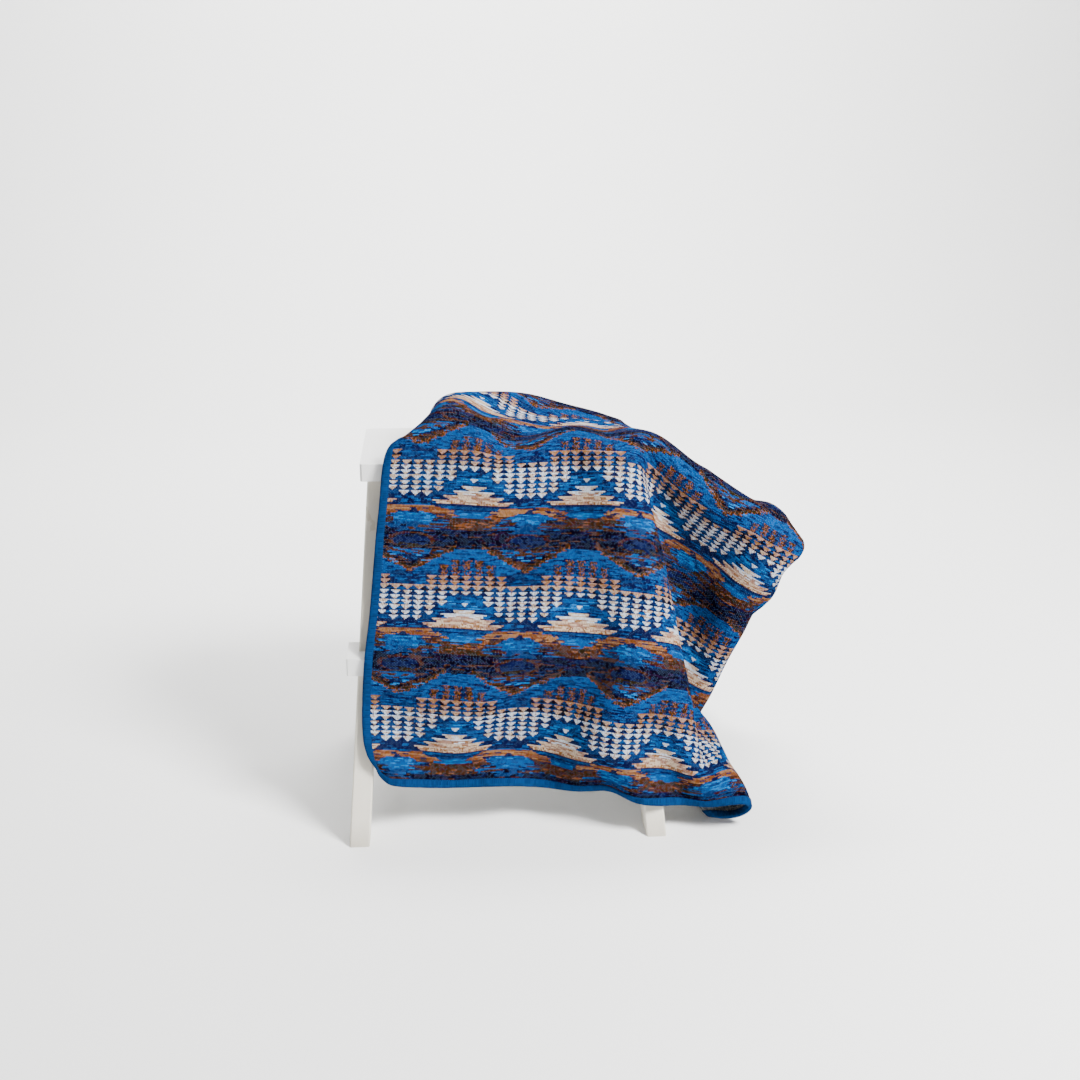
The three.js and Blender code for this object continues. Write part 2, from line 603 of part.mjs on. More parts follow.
// Walks the rim once round, seen from the face: [i, j, next inner i, next inner j].
function rimWalk(lastI, lastJ) {
  const walk = [];
  const inward = (i, j) => [Math.min(Math.max(i, 1), lastI - 1), Math.min(Math.max(j, 1), lastJ - 1)];
  for (let i = 0; i < lastI; i++) walk.push([i, 0]);
  for (let j = 0; j < lastJ; j++) walk.push([lastI, j]);
  for (let i = lastI; i > 0; i--) walk.push([i, lastJ]);
  for (let j = lastJ; j > 0; j--) walk.push([0, j]);
  return walk.map(([i, j]) => [i, j, ...inward(i, j)]);
}

function meshOf(name, points, faces, material) {
  const geometry = new THREE.BufferGeometry();
  geometry.setAttribute('position', new THREE.Float32BufferAttribute(points.flatMap((p) => p.toArray()), 3));
  geometry.setIndex(faces.flat());
  geometry.computeVertexNormals();
  const mesh = new THREE.Mesh(geometry, material);
  mesh.name = name;
  return mesh;
}

function clothSheet() {
  const wide = LINES_U.length;
  const long = LINES_V.length;
  const points = [];
  const faces = [];
  for (const side of [1, -1]) {
    for (let i = 0; i < wide; i++) {
      for (let j = 0; j < long; j++) {
        points.push(gridPoint[i][j].clone().addScaledVector(gridNormal[i][j], (side * CLOTH_THICK) / 2));
      }
    }
  }
  const spot = (i, j, under) => i * long + j + (under ? wide * long : 0);
  for (let i = 0; i + 1 < wide; i++) {
    for (let j = 0; j + 1 < long; j++) {
      const [a, b, c, d] = [spot(i, j), spot(i + 1, j), spot(i + 1, j + 1), spot(i, j + 1)];
      const sideCell = i === 0 || i === wide - 2;
      const firstOrLast = (i === 0 && j === 0) || (i === wide - 2 && j === long - 2);
      const split = sideCell && !firstOrLast ? [[a, b, d], [b, c, d]] : [[a, b, c], [a, c, d]];
      const shift = wide * long;
      faces.push(...split);
      faces.push(...split.map(([p, q, r]) => [p + shift, r + shift, q + shift]));
    }
  }
  const rim = rimWalk(wide - 1, long - 1);
  rim.forEach(([i, j], n) => {
    const [ni, nj] = rim[(n + 1) % rim.length];
    const [a, b] = [spot(i, j), spot(ni, nj)];
    const [c, d] = [spot(ni, nj, true), spot(i, j, true)];
    faces.push([a, d, c], [a, c, b]);
  });
  return [points, faces];
}

// The binding is a folded strip round the rim: deep = distance in from its outer edge.
function bindingStrip() {
  const inner = CLOTH_THICK / 2 + FIT_GAP;
  const outer = BINDING_THICK / 2;
  const half = [
    { deep: BINDING_WEB, off: inner },
    { deep: BINDING_DEEP, off: inner },
    { deep: BINDING_DEEP, off: outer - 0.6 },
    { deep: BINDING_DEEP - 1.2, off: outer },
    { deep: 2.6, off: outer },
    { deep: 0.8, off: outer - 0.9 },
    { deep: 0, off: 0 },
  ];
  const section = [...half, ...half.slice(0, -1).reverse().map(({ deep, off }) => ({ deep, off: -off }))];
  const rim = rimWalk(LINES_U.length - 1, LINES_V.length - 1);
  const edge = BINDING_WEB + FIT_GAP;
  const points = [];
  for (const [i, j, ii, jj] of rim) {
    const outerPoint = gridPoint[i][j];
    const outerNormal = gridNormal[i][j];
    const innerPoint = gridPoint[ii][jj];
    const innerNormal = gridNormal[ii][jj];
    const inwards = innerPoint.clone().sub(outerPoint).normalize();
    for (const { deep, off } of section) {
      const share = Math.max((deep - edge) / (BINDING_DEEP - edge), 0);
      const point = outerPoint.clone().lerp(innerPoint, share);
      if (deep < edge) point.addScaledVector(inwards, deep - edge);
      const normal = outerNormal.clone().lerp(innerNormal, share);
      points.push(point.addScaledVector(normal, off));
    }
  }
  const faces = [];
  const count = section.length;
  for (let n = 0; n < rim.length; n++) {
    const m = (n + 1) % rim.length;
    for (let k = 0; k < count; k++) {
      const l = (k + 1) % count;
      const [a, b, c, d] = [n * count + k, n * count + l, m * count + l, m * count + k];
      if (k < half.length - 1) faces.push([a, b, c], [a, c, d]);
      else faces.push([a, b, d], [b, c, d]);
    }
  }
  return [points, faces];
}

// A straight-sided solid between two outlines of as many corners, the upper one shifted.
function prism(lower, upper, zLow, zHigh) {
  const points = [
    ...lower.map(([x, y]) => new THREE.Vector3(x, y, zLow)),
    ...upper.map(([x, y]) => new THREE.Vector3(x, y, zHigh)),
  ];
  const count = lower.length;
  const flat = lower.map(([x, y]) => new THREE.Vector2(x, y));
  const caps = THREE.ShapeUtils.triangulateShape(flat, []);
  const faces = [];
  for (const [a, b, c] of caps) {
    faces.push([a, c, b], [a + count, b + count, c + count]);
  }
  for (let n = 0; n < count; n++) {
    const m = (n + 1) % count;
    faces.push([n, m, m + count], [n, m + count, n + count]);
  }
  return [points, faces];
}

// A block of board with its four upright edges eased, from x0, y0 to x1, y1.
function easedOutline(x0, y0, x1, y1, ease = EDGE_EASE) {
  return [
    [x0 + ease, y0],
    [x1 - ease, y0],
    [x1, y0 + ease],
    [x1, y1 - ease],
    [x1 - ease, y1],
    [x0 + ease, y1],
    [x0, y1 - ease],
    [x0, y0 + ease],
  ];
}

const moved = (outline, dx, dy) => outline.map(([x, y]) => [x + dx, y + dy]);
const mirrored = (outline) => outline.map(([x, y]) => [-x, y]).reverse();

// The side frames lean in by this much a millimetre of height, the front legs back by this.
const LEAN_X = (LEG_TOP_OUTER - FOOT_OUTER) / (STOOL_HEIGHT - BOARD_THICK);
const LEAN_Y = (FRONT_LEG_TOP_Y - FRONT_FOOT_Y) / (STOOL_HEIGHT - BOARD_THICK);

function leaning(outlineAtFloor, zLow, zHigh, leanX, leanY) {
  return prism(
    moved(outlineAtFloor, leanX * zLow, leanY * zLow),
    moved(outlineAtFloor, leanX * zHigh, leanY * zHigh),
    zLow,
    zHigh
  );
}

const slabUnder = STOOL_HEIGHT - BOARD_THICK;
const stepUnder = STEP_TOP - BOARD_THICK;
const legInner = FOOT_OUTER - LEG_WIDE;

const frontLegOutline = easedOutline(legInner, FRONT_FOOT_Y, FOOT_OUTER, FRONT_FOOT_Y + LEG_DEEP);
const rearLegOutline = easedOutline(legInner, REAR_FOOT_Y, FOOT_OUTER, REAR_FOOT_Y + LEG_DEEP);

// Side rail under the step, from the front leg's back face to the rear leg's front face.
function sideRailOutline(z) {
  const outer = FOOT_OUTER + LEAN_X * z - 4;
  const front = FRONT_FOOT_Y + LEG_DEEP + LEAN_Y * z + FIT_GAP;
  const rear = REAR_FOOT_Y - FIT_GAP;
  return [
    [outer - RAIL_THICK, front],
    [outer, front],
    [outer, rear],
    [outer - RAIL_THICK, rear],
  ];
}

// Rear rail between the rear legs, level with the side rails.
function rearRailOutline(z) {
  const end = legInner + LEAN_X * z - FIT_GAP;
  const y = REAR_FOOT_Y + LEG_DEEP / 2;
  return [
    [-end, y - RAIL_THICK / 2],
    [end, y - RAIL_THICK / 2],
    [end, y + RAIL_THICK / 2],
    [-end, y + RAIL_THICK / 2],
  ];
}

// The step board is let in round the front legs from behind.
function stepOutline(z) {
  const legFront = FRONT_FOOT_Y + LEAN_Y * z - FIT_GAP;
  const outer = FOOT_OUTER + LEAN_X * z + FIT_GAP;
  const inner = legInner + LEAN_X * z - FIT_GAP;
  return [
    [-STEP_HALF_WIDTH + EDGE_EASE, STEP_FRONT],
    [STEP_HALF_WIDTH - EDGE_EASE, STEP_FRONT],
    [STEP_HALF_WIDTH, STEP_FRONT + EDGE_EASE],
    [STEP_HALF_WIDTH, STEP_REAR],
    [outer, STEP_REAR],
    [outer, legFront],
    [inner, legFront],
    [inner, STEP_REAR],
    [-inner, STEP_REAR],
    [-inner, legFront],
    [-outer, legFront],
    [-outer, STEP_REAR],
    [-STEP_HALF_WIDTH, STEP_REAR],
    [-STEP_HALF_WIDTH, STEP_FRONT + EDGE_EASE],
  ];
}

const railTop = stepUnder - FIT_GAP;
const railLow = railTop - RAIL_HIGH;
const slabOutline = easedOutline(-SLAB_HALF_WIDTH, 0, SLAB_HALF_WIDTH, SLAB_DEEP, 3);

const clothLook = new THREE.MeshStandardMaterial({ color: 0x1a5ea8, roughness: 0.95, metalness: 0 });
const bindingLook = new THREE.MeshStandardMaterial({ color: 0x1068c0, roughness: 0.9, metalness: 0 });
const slabLook = new THREE.MeshStandardMaterial({ color: 0xf1f1f0, roughness: 0.45, metalness: 0 });
const legLook = new THREE.MeshStandardMaterial({ color: 0xe2ddd2, roughness: 0.5, metalness: 0 });

const lowLeg = 0;
const topLeg = slabUnder - FIT_GAP;
const parts = [
  ['blanket_cloth', clothSheet(), clothLook],
  ['blanket_binding', bindingStrip(), bindingLook],
  ['top_slab', prism(slabOutline, slabOutline, slabUnder, STOOL_HEIGHT), slabLook],
  ['step_board', prism(stepOutline(stepUnder), stepOutline(STEP_TOP), stepUnder, STEP_TOP), slabLook],
  ['front_leg_right', leaning(frontLegOutline, lowLeg, topLeg, LEAN_X, LEAN_Y), legLook],
  ['front_leg_left', leaning(mirrored(frontLegOutline), lowLeg, topLeg, -LEAN_X, LEAN_Y), legLook],
  ['rear_leg_right', leaning(rearLegOutline, lowLeg, topLeg, LEAN_X, 0), legLook],
  ['rear_leg_left', leaning(mirrored(rearLegOutline), lowLeg, topLeg, -LEAN_X, 0), legLook],
  ['side_rail_right', prism(sideRailOutline(railLow), sideRailOutline(railTop), railLow, railTop), legLook],
  [
    'side_rail_left',
    prism(mirrored(sideRailOutline(railLow)), mirrored(sideRailOutline(railTop)), railLow, railTop),
    legLook,
  ],
  ['rear_rail', prism(rearRailOutline(railLow), rearRailOutline(railTop), railLow, railTop), legLook],
];

const group = new THREE.Group();
const whole = new THREE.Box3();
const meshes = parts.map(([name, [points, faces], look]) => {
  whole.union(new THREE.Box3().setFromPoints(points));
  return [name, points, faces, look];
});
const shift = new THREE.Vector3(-(whole.min.x + whole.max.x) / 2, -(whole.min.y + whole.max.y) / 2, 0);
for (const [name, points, faces, look] of meshes) {
  group.add(meshOf(name, points.map((p) => p.add(shift)), faces, look));
}

export default group;
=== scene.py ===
"""Looks of a woven throw draped over a plain two-step stool."""

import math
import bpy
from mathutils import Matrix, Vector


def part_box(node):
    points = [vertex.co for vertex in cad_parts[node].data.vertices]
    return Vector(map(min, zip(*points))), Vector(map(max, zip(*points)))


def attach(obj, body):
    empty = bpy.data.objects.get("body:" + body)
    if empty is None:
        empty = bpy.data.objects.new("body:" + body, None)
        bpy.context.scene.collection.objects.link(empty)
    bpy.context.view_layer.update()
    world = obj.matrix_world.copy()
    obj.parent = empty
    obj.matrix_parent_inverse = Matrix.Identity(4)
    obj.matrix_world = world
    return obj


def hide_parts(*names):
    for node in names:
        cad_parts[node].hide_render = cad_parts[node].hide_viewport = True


bl_info = {
    "name": "Draped jacquard throw",
    "version": (1, 0, 0),
    "blender": (4, 5, 0),
    "location": "3D View > Sidebar > Throw",
    "description": "Builds a woven throw lying over a painted step stool",
    "category": "Object",
}

import bpy
import numpy as np
from mathutils import Vector

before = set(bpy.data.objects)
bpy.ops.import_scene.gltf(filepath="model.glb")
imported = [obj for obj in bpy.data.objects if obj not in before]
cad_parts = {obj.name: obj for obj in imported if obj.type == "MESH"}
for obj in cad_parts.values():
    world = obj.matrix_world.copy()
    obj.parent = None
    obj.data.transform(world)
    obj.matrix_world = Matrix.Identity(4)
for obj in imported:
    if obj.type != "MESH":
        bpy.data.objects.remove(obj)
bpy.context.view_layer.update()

# Throw, flat and laid (mm)
WIDTH, LENGTH, THICK = 762.0, 1016.0, 3.0
CORNER_RADIUS = 42.0
BINDING_DEEP = 12.0
LEFT_EDGE_X = -171.0
FRONT_CREASE_V = 484.0
LAID_TURN = math.radians(3)
LAID_DROOP = 0.6

# Stool that the throw settles on.
STOOL_HEIGHT, BOARD_THICK = 500.0, 25.0
SLAB_HALF_WIDTH, SLAB_DEEP = 197.5, 234.0
STEP_TOP, STEP_HALF_WIDTH, STEP_FRONT, STEP_REAR = 250.0, 220.0, -107.0, -40.0
LEG_WIDE, LEG_DEEP = 28.0, 50.0
FOOT_OUTER, LEG_TOP_OUTER = 221.0, 188.0
FRONT_FOOT_Y, FRONT_LEG_TOP_Y, REAR_FOOT_Y = -179.0, 15.0, 176.0

# Settling of the net.
ACROSS, ALONG = 45, 60
STEPS, RAMP_STEPS, LAST_STEPS = 1000, 400, 200
SINK, CARRY = 0.01, 0.98
SLANT_HOLD, SHARPEST, SHARP_HOLD = 0.25, 1.3, 0.6
NEAR_BEND, FAR_BEND, GRIP = 0.04, 0.02, 0.25
STAND_OFF, RIM_OFF, FLOOR_OFF = 6.2, 7.0, 4.8
PARTING_STEPS, LIST_EVERY, LIST_NEAR, LAYER_GAP, FAR_CELLS = 500, 25, 40.0, 14.0, 3
EVEN_PASSES, EVEN_SHARE, CLEARING_PASSES = 3, 0.4, 20
FOLD_REACH, FOLD_GRIP = 26.0, 0.2

# Places of the folds: fold, cloth place (u, v), where it lies (x, y, z), reach, grip.
# Most x and z were worked out by a program from places read in the photo.
HEM_AND_SIDE = [
    ("left edge at crease", 0, 470, -175, -10, 500, None, 0.3),
    ("left edge above step", 0, 350, -180, -55, 395, None, 0.3),
    ("left edge below step", 0, 155, -200, -115, 220, None, None),
    ("left edge on the leg", 0, 70, -200, -130, 140, None, None),
    ("left corner", 15, 15, -185, -145, 95, 20, 0.3),
    ("left hem", 60, 0, -150, -150, 80, 20, None),
    ("hem middle", 200, 0, -10, -135, 65, None, None),
    ("hem dip", 340, 0, 125, -140, 50, None, None),
    ("hem by the leg", 390, 0, 165, -155, 50, 20, None),
    ("hem on the leg", 440, 0, 205, -170, 50, 20, None),
    ("hem pushed out", 540, 0, 285, -165, 40, 20, None),
    ("hem corner", 600, 2, 335, -160, 40, 16, 0.4),
    ("curl, outer side", 620, 2, 345, -165, 30, 14, 0.4),
    ("curl, on the floor", 645, 2, 330, -170, 0, 14, 0.5),
    ("curl, low", 665, 3, 310, -170, 0, 14, 0.5),
    ("curl, inner side", 685, 5, 290, -170, 15, 14, 0.5),
    ("curl, turned up", 700, 10, 300, -155, 20, 14, 0.2),
    ("hidden corner", 750, 60, 275, -70, 15, None, 0.25),
]
FRONT_PANEL = [
    ("upper left", 130, 425, -40, -30, 460, None, None),
    ("upper right", 295, 425, 125, -30, 460, None, None),
    ("middle left", 130, 250, -55, -85, 300, None, None),
    ("middle right", 295, 250, 105, -90, 300, None, None),
    ("lower left", 130, 75, -75, -125, 130, None, None),
    ("lower right", 295, 75, 80, -125, 120, None, None),
    ("low by the ridge", 460, 75, 220, -145, 100, None, None),
]
RIDGE_AND_VALLEY = [
    ("ridge at slab corner", 390, 490, 205, -10, 520, None, None),
    ("panel by the ridge", 380, 430, 190, -35, 450, None, None),
    ("ridge upper", 415, 415, 215, -40, 435, 20, None),
    ("steep face behind ridge", 505, 415, 255, 10, 380, 20, None),
    ("ridge middle", 430, 350, 230, -65, 355, 20, None),
    ("ridge above step", 445, 270, 245, -90, 290, 20, None),
    ("ridge below step", 500, 180, 265, -110, 185, 20, None),
    ("ridge lower", 510, 140, 270, -120, 145, 20, None),
    ("panel turning back", 540, 90, 280, -130, 100, 20, 0.3),
    ("ridge turned out", 585, 85, 300, -120, 90, 20, 0.3),
    ("ridge foot", 620, 70, 320, -110, 60, 20, 0.3),
    ("fold behind the ridge", 600, 155, 260, -45, 140, 20, None),
    ("valley upper", 520, 350, 245, 25, 315, 22, None),
    ("valley lower", 545, 275, 230, 10, 235, 22, None),
]
WING = [
    ("crest start", 400, 550, 220, 20, 530, None, None),
    ("crest quarter", 455, 555, 275, 10, 495, 20, 0.35),
    ("crest middle", 505, 555, 315, 5, 475, 20, 0.35),
    ("crest past middle", 560, 555, 355, 5, 450, 20, 0.35),
    ("crest before the nose", 605, 555, 390, 0, 425, 20, 0.35),
    ("crest end", 655, 555, 420, 0, 405, 20, 0.35),
    ("band by the crest, inner", 450, 530, 255, -5, 495, 20, None),
    ("band by the crest, middle", 550, 530, 335, -15, 445, 20, None),
    ("band by the crest, outer", 650, 530, 410, -15, 390, 20, None),
    ("nose", 705, 545, 435, 10, 380, 20, 0.3),
    ("wing face inner", 540, 445, 305, 5, 385, None, None),
    ("wing face outer", 625, 485, 375, -35, 385, None, None),
    ("wing face middle", 625, 430, 355, -30, 330, 20, 0.3),
    ("wing face edge", 690, 450, 410, -10, 335, 20, 0.35),
    ("wing outline, upper", 715, 490, 435, 10, 350, 20, 0.3),
    ("wing outline, middle", 710, 410, 410, 10, 295, 20, 0.3),
    ("wing outline, lower", 700, 350, 380, 20, 255, 20, 0.3),
    ("wing waist", 625, 310, 300, 15, 225, None, None),
    ("wing below waist", 625, 250, 290, 15, 165, None, None),
    ("wing tuck, upper", 700, 305, 345, 20, 210, 20, 0.35),
    ("wing tuck", 700, 270, 325, 25, 170, 20, 0.35),
    ("wing tuck, lower", 695, 230, 315, 20, 135, 20, 0.35),
    ("nose outline", 720, 515, 440, 15, 365, 20, 0.35),
    ("turned edge, at the nose", 762, 520, 430, 65, 340, 20, 0.35),
    ("wing low", 690, 180, 280, 5, 105, None, None),
    ("wing foot", 690, 110, 270, -40, 75, None, None),
    ("behind crest, start", 410, 630, 230, 85, 490, None, None),
    ("behind crest, inner", 470, 630, 285, 65, 440, None, None),
    ("behind crest, middle", 570, 630, 340, 60, 395, None, None),
    ("behind crest, outer", 690, 630, 400, 60, 350, None, None),
    ("turned edge, top", 762, 570, 410, 65, 350, None, None),
    ("turned edge, upper", 762, 470, 415, 55, 310, 20, 0.3),
    ("turned edge, middle", 762, 390, 385, 60, 260, 20, 0.3),
    ("turned edge, low", 762, 320, 350, 60, 210, 20, 0.3),
    ("turned edge, lower", 762, 250, 305, 60, 150, None, None),
]
CROWN = [
    ("left edge, front", 0, 500, -150, -5, 520, 20, 0.3),
    ("left edge, raised", 0, 520, -150, 5, 535, 18, 0.35),
    ("flank ridge, foot", 20, 535, -130, 10, 545, 20, 0.3),
    ("flank ridge, low", 40, 560, -105, 30, 555, 20, 0.3),
    ("flank ridge, high", 70, 585, -80, 45, 580, 20, 0.3),
    ("flank ridge, top", 100, 620, -60, 80, 585, 20, 0.3),
    ("left edge, turned back", 0, 560, -100, 60, 520, 20, 0.3),
    ("left edge, falling", 0, 605, -85, 95, 510, None, 0.25),
    ("left edge, on the slab", 0, 660, -85, 145, 505, None, 0.2),
    ("left edge, back", 0, 720, -90, 205, 510, None, 0.25),
    ("left edge, over the rear", 0, 770, -95, 250, 500, None, 0.3),
    ("roll, left", 120, 520, -35, 0, 545, None, None),
    ("crown slope", 130, 585, -35, 65, 560, None, None),
    ("crown peak", 125, 650, -40, 115, 580, 20, 0.3),
    ("crown back", 100, 720, -45, 175, 530, None, None),
    ("crown fall", 100, 790, -40, 235, 495, None, None),
    ("saddle front", 200, 595, 40, 85, 540, None, None),
    ("saddle", 200, 660, 45, 145, 540, None, None),
    ("roll, middle", 260, 500, 90, -5, 530, None, None),
    ("top, middle", 260, 595, 100, 85, 530, None, 0.3),
    ("top, middle back", 260, 665, 105, 150, 530, None, None),
    ("rear edge, middle", 250, 735, 95, 220, 540, None, None),
    ("top, right", 330, 595, 165, 85, 525, None, None),
    ("top, right back", 330, 645, 170, 130, 525, None, None),
    ("rear edge, right", 345, 705, 190, 190, 515, None, None),
    ("rear left", 0, 1000, -110, 260, 270, 40, 0.1),
    ("rear side, high", 762, 760, 410, 150, 230, 36, 0.15),
    ("rear side, low", 762, 880, 385, 215, 140, 36, 0.15),
    ("rear corner", 750, 1000, 350, 270, 60, 36, 0.15),
]
FOLDS = [*HEM_AND_SIDE, *FRONT_PANEL, *RIDGE_AND_VALLEY, *WING, *CROWN]

CELL = WIDTH / ACROSS
COLUMNS, ROWS = ACROSS + 1, ALONG + 1


def leaning_leg(side, foot_y, top_y):
    """One leg as a leaning box: centre, half sizes and unit axes."""
    rise = STOOL_HEIGHT - BOARD_THICK
    up = np.array([side * (LEG_TOP_OUTER - FOOT_OUTER), top_y - foot_y, rise])
    half = np.linalg.norm(up) / 2
    up = up / (2 * half)
    across = np.array([1.0, 0, 0]) - up * up[0]
    across /= np.linalg.norm(across)
    into = np.cross(up, across)
    foot = np.array([side * (FOOT_OUTER - LEG_WIDE / 2), foot_y + LEG_DEEP / 2, 0])
    halves = np.array([LEG_WIDE / 2, LEG_DEEP / 2 * into[1], half])
    return foot + up * half, halves, np.array([across, into, up])


def level_board(x_half, y0, y1, top):
    """A level board as a box."""
    centre = np.array([0, (y0 + y1) / 2, top - BOARD_THICK / 2])
    return centre, np.array([x_half, (y1 - y0) / 2, BOARD_THICK / 2]), np.eye(3)


RESTS = [
    level_board(SLAB_HALF_WIDTH, 0, SLAB_DEEP, STOOL_HEIGHT),
    level_board(STEP_HALF_WIDTH, STEP_FRONT, STEP_REAR, STEP_TOP),
    leaning_leg(1, FRONT_FOOT_Y, FRONT_LEG_TOP_Y),
    leaning_leg(-1, FRONT_FOOT_Y, FRONT_LEG_TOP_Y),
    leaning_leg(1, REAR_FOOT_Y, REAR_FOOT_Y),
    leaning_leg(-1, REAR_FOOT_Y, REAR_FOOT_Y),
]


def laid_out():
    """The net as first laid: down the front, over the slab and down the rear."""
    u, v = np.meshgrid(np.arange(COLUMNS) * CELL, np.arange(ROWS) * CELL - FRONT_CREASE_V, indexing="ij")
    along = v * math.cos(LAID_TURN) - u * math.sin(LAID_TURN) * LAID_DROOP
    top_y, top_z = -7.0, STOOL_HEIGHT + 6
    edge_y, edge_z = STEP_FRONT - 7, STEP_TOP + 2
    slope = math.hypot(edge_y - top_y, edge_z - top_z)
    back = SLAB_DEEP + 14
    share = np.minimum(-along / slope, 1)
    front = along < 0
    y = np.where(front, top_y + (edge_y - top_y) * share, top_y + np.minimum(along, back))
    z = np.where(
        front,
        top_z + (edge_z - top_z) * share - np.maximum(-along - slope, 0),
        top_z - np.maximum(along - back, 0),
    )
    x = LEFT_EDGE_X + u * math.cos(LAID_TURN) + v * math.sin(LAID_TURN)
    return np.stack([x, y, z], -1)


def pull_all(net, di, dj, length, stiff, only_apart):
    """Pulls pairs that are (di, dj) cells apart to their length, in turns that share no point."""
    stride = max(di, abs(dj))
    for turn in range(2 * stride):
        if di > 0:
            first = -dj if dj < 0 else 0
            last = ROWS if dj < 0 else ROWS - dj
            a = net[turn : COLUMNS - di : 2 * stride, first:last]
            b = net[turn + di :: 2 * stride, first + dj : last + dj]
            b = b[: a.shape[0]]
        else:
            a = net[:, turn : ROWS - dj : 2 * stride]
            b = net[:, turn + dj :: 2 * stride]
            b = b[:, : a.shape[1]]
        gap = b - a
        now = np.sqrt(np.einsum("ijk,ijk->ij", gap, gap)) + 1e-9
        share = (now - length) / now * (0.5 * stiff)
        if only_apart:
            share = np.minimum(share, 0)
        move = gap * share[..., None]
        a += move
        b -= move


def tighten(net):
    """One pass over stretch, slant and bend."""
    pull_all(net, 1, 0, CELL, 1, False)
    pull_all(net, 0, 1, CELL, 1, False)
    pull_all(net, 1, 1, CELL * math.sqrt(2), SLANT_HOLD, False)
    pull_all(net, 1, -1, CELL * math.sqrt(2), SLANT_HOLD, False)
    pull_all(net, 2, 0, 2 * CELL, NEAR_BEND, True)
    pull_all(net, 0, 2, 2 * CELL, NEAR_BEND, True)
    pull_all(net, 2, 0, SHARPEST * CELL, SHARP_HOLD, True)
    pull_all(net, 0, 2, SHARPEST * CELL, SHARP_HOLD, True)
    pull_all(net, 4, 0, 4 * CELL, FAR_BEND, True)
    pull_all(net, 0, 4, 4 * CELL, FAR_BEND, True)


def way_out(board, points, off):
    """Unit directions and distances out of a board grown by off, and which points are in it."""
    centre, half, axes = board
    d = (points - centre) @ axes.T
    past = np.abs(d) - half
    near = np.all(past <= off[:, None], axis=1)
    found = np.nonzero(near)[0]
    d, past, off = d[found], past[found], off[found]
    out = np.maximum(past, 0)
    far = np.sqrt((out * out).sum(1))
    inside = far < off
    found, d, past, off, out, far = (each[inside] for each in (found, d, past, off, out, far))
    free = far > 0
    local = np.where(free[:, None], out / np.where(free, far, 1)[:, None], 0) * np.sign(d)
    nearest = past.argmax(1)
    stuck = np.nonzero(~free)[0]
    local[stuck, nearest[stuck]] = np.sign(d[stuck, nearest[stuck]])
    lift = np.where(free, off - far, off - past.max(1))
    return found, local @ axes, lift


RIM = np.zeros((COLUMNS, ROWS), bool)
RIM[[0, -1], :] = True
RIM[:, [0, -1]] = True
OFF = np.where(RIM, RIM_OFF, STAND_OFF)


def lay_on(net, before, board):
    """Keeps the net's points off a board or leg, and holds back their slide there."""
    points = net.reshape(-1, 3)
    found, normal, lift = way_out(board, points, OFF.ravel())
    if not len(found):
        return
    push = normal * lift[:, None]
    step = points[found] + push - before.reshape(-1, 3)[found]
    outward = (step * normal).sum(1)[:, None]
    points[found] += push - (step - normal * outward) * GRIP


def mean_pushes(net, index, push):
    """Moves each point by the mean of the pushes that it gets."""
    points = net.reshape(-1, 3)
    count = np.bincount(index, minlength=len(points))
    for n in range(3):
        points[:, n] += np.bincount(index, push[:, n], len(points)) / np.maximum(count, 1)


def lay_between(net):
    """Keeps the middles of the net's cells and of their sides off the boards and legs."""
    number = np.arange(COLUMNS * ROWS).reshape(COLUMNS, ROWS)
    for di, dj in ((1, 0), (0, 1), (1, 1)):
        corners = [number[: COLUMNS - di, : ROWS - dj], number[di:, dj:]]
        both = RIM[: COLUMNS - di, : ROWS - dj] & RIM[di:, dj:]
        if di and dj:
            corners += [number[1:, : ROWS - 1], number[: COLUMNS - 1, 1:]]
        corners = np.stack([c.ravel() for c in corners], 1)
        middle = net.reshape(-1, 3)[corners].mean(1)
        off = np.where(both.ravel(), RIM_OFF, STAND_OFF)
        index, push = [], []
        for board in RESTS:
            found, normal, lift = way_out(board, middle, off)
            index.append(corners[found].ravel())
            push.append(np.repeat(normal * lift[:, None], corners.shape[1], 0))
        mean_pushes(net, np.concatenate(index), np.concatenate(push))


CELL_I, CELL_J = np.divmod(np.arange(COLUMNS * ROWS), ROWS)


def near_pairs(net):
    """Pairs of points that lie near each other though far apart in the cloth."""
    points = net.reshape(-1, 3)
    size = (points * points).sum(1)
    square = size[:, None] + size[None, :] - 2 * points @ points.T
    a, b = np.nonzero(np.triu(square < LIST_NEAR * LIST_NEAR, 1))
    apart = (np.abs(CELL_I[a] - CELL_I[b]) >= FAR_CELLS) | (np.abs(CELL_J[a] - CELL_J[b]) >= FAR_CELLS)
    return a[apart], b[apart]


def part_layers(net, pairs):
    """Moves layers that have come too near each other apart."""
    points = net.reshape(-1, 3)
    a, b = pairs
    gap = points[b] - points[a]
    far = np.sqrt((gap * gap).sum(1)) + 1e-9
    close = far < LAYER_GAP
    if not close.any():
        return
    a, b, gap, far = a[close], b[close], gap[close], far[close]
    push = gap * ((LAYER_GAP - far) / far * 0.5)[:, None]
    mean_pushes(net, np.concatenate([a, b]), np.concatenate([-push, push]))


def net_weights(u, v):
    """Four net points round a place in the cloth, with their shares."""
    s, t = u / CELL, v / CELL
    i = min(max(int(s), 0), COLUMNS - 2)
    j = min(max(int(t), 0), ROWS - 2)
    a, b = s - i, t - j
    index = [i * ROWS + j, (i + 1) * ROWS + j, i * ROWS + j + 1, (i + 1) * ROWS + j + 1]
    return np.array(index), np.array([(1 - a) * (1 - b), a * (1 - b), (1 - a) * b, a * b])


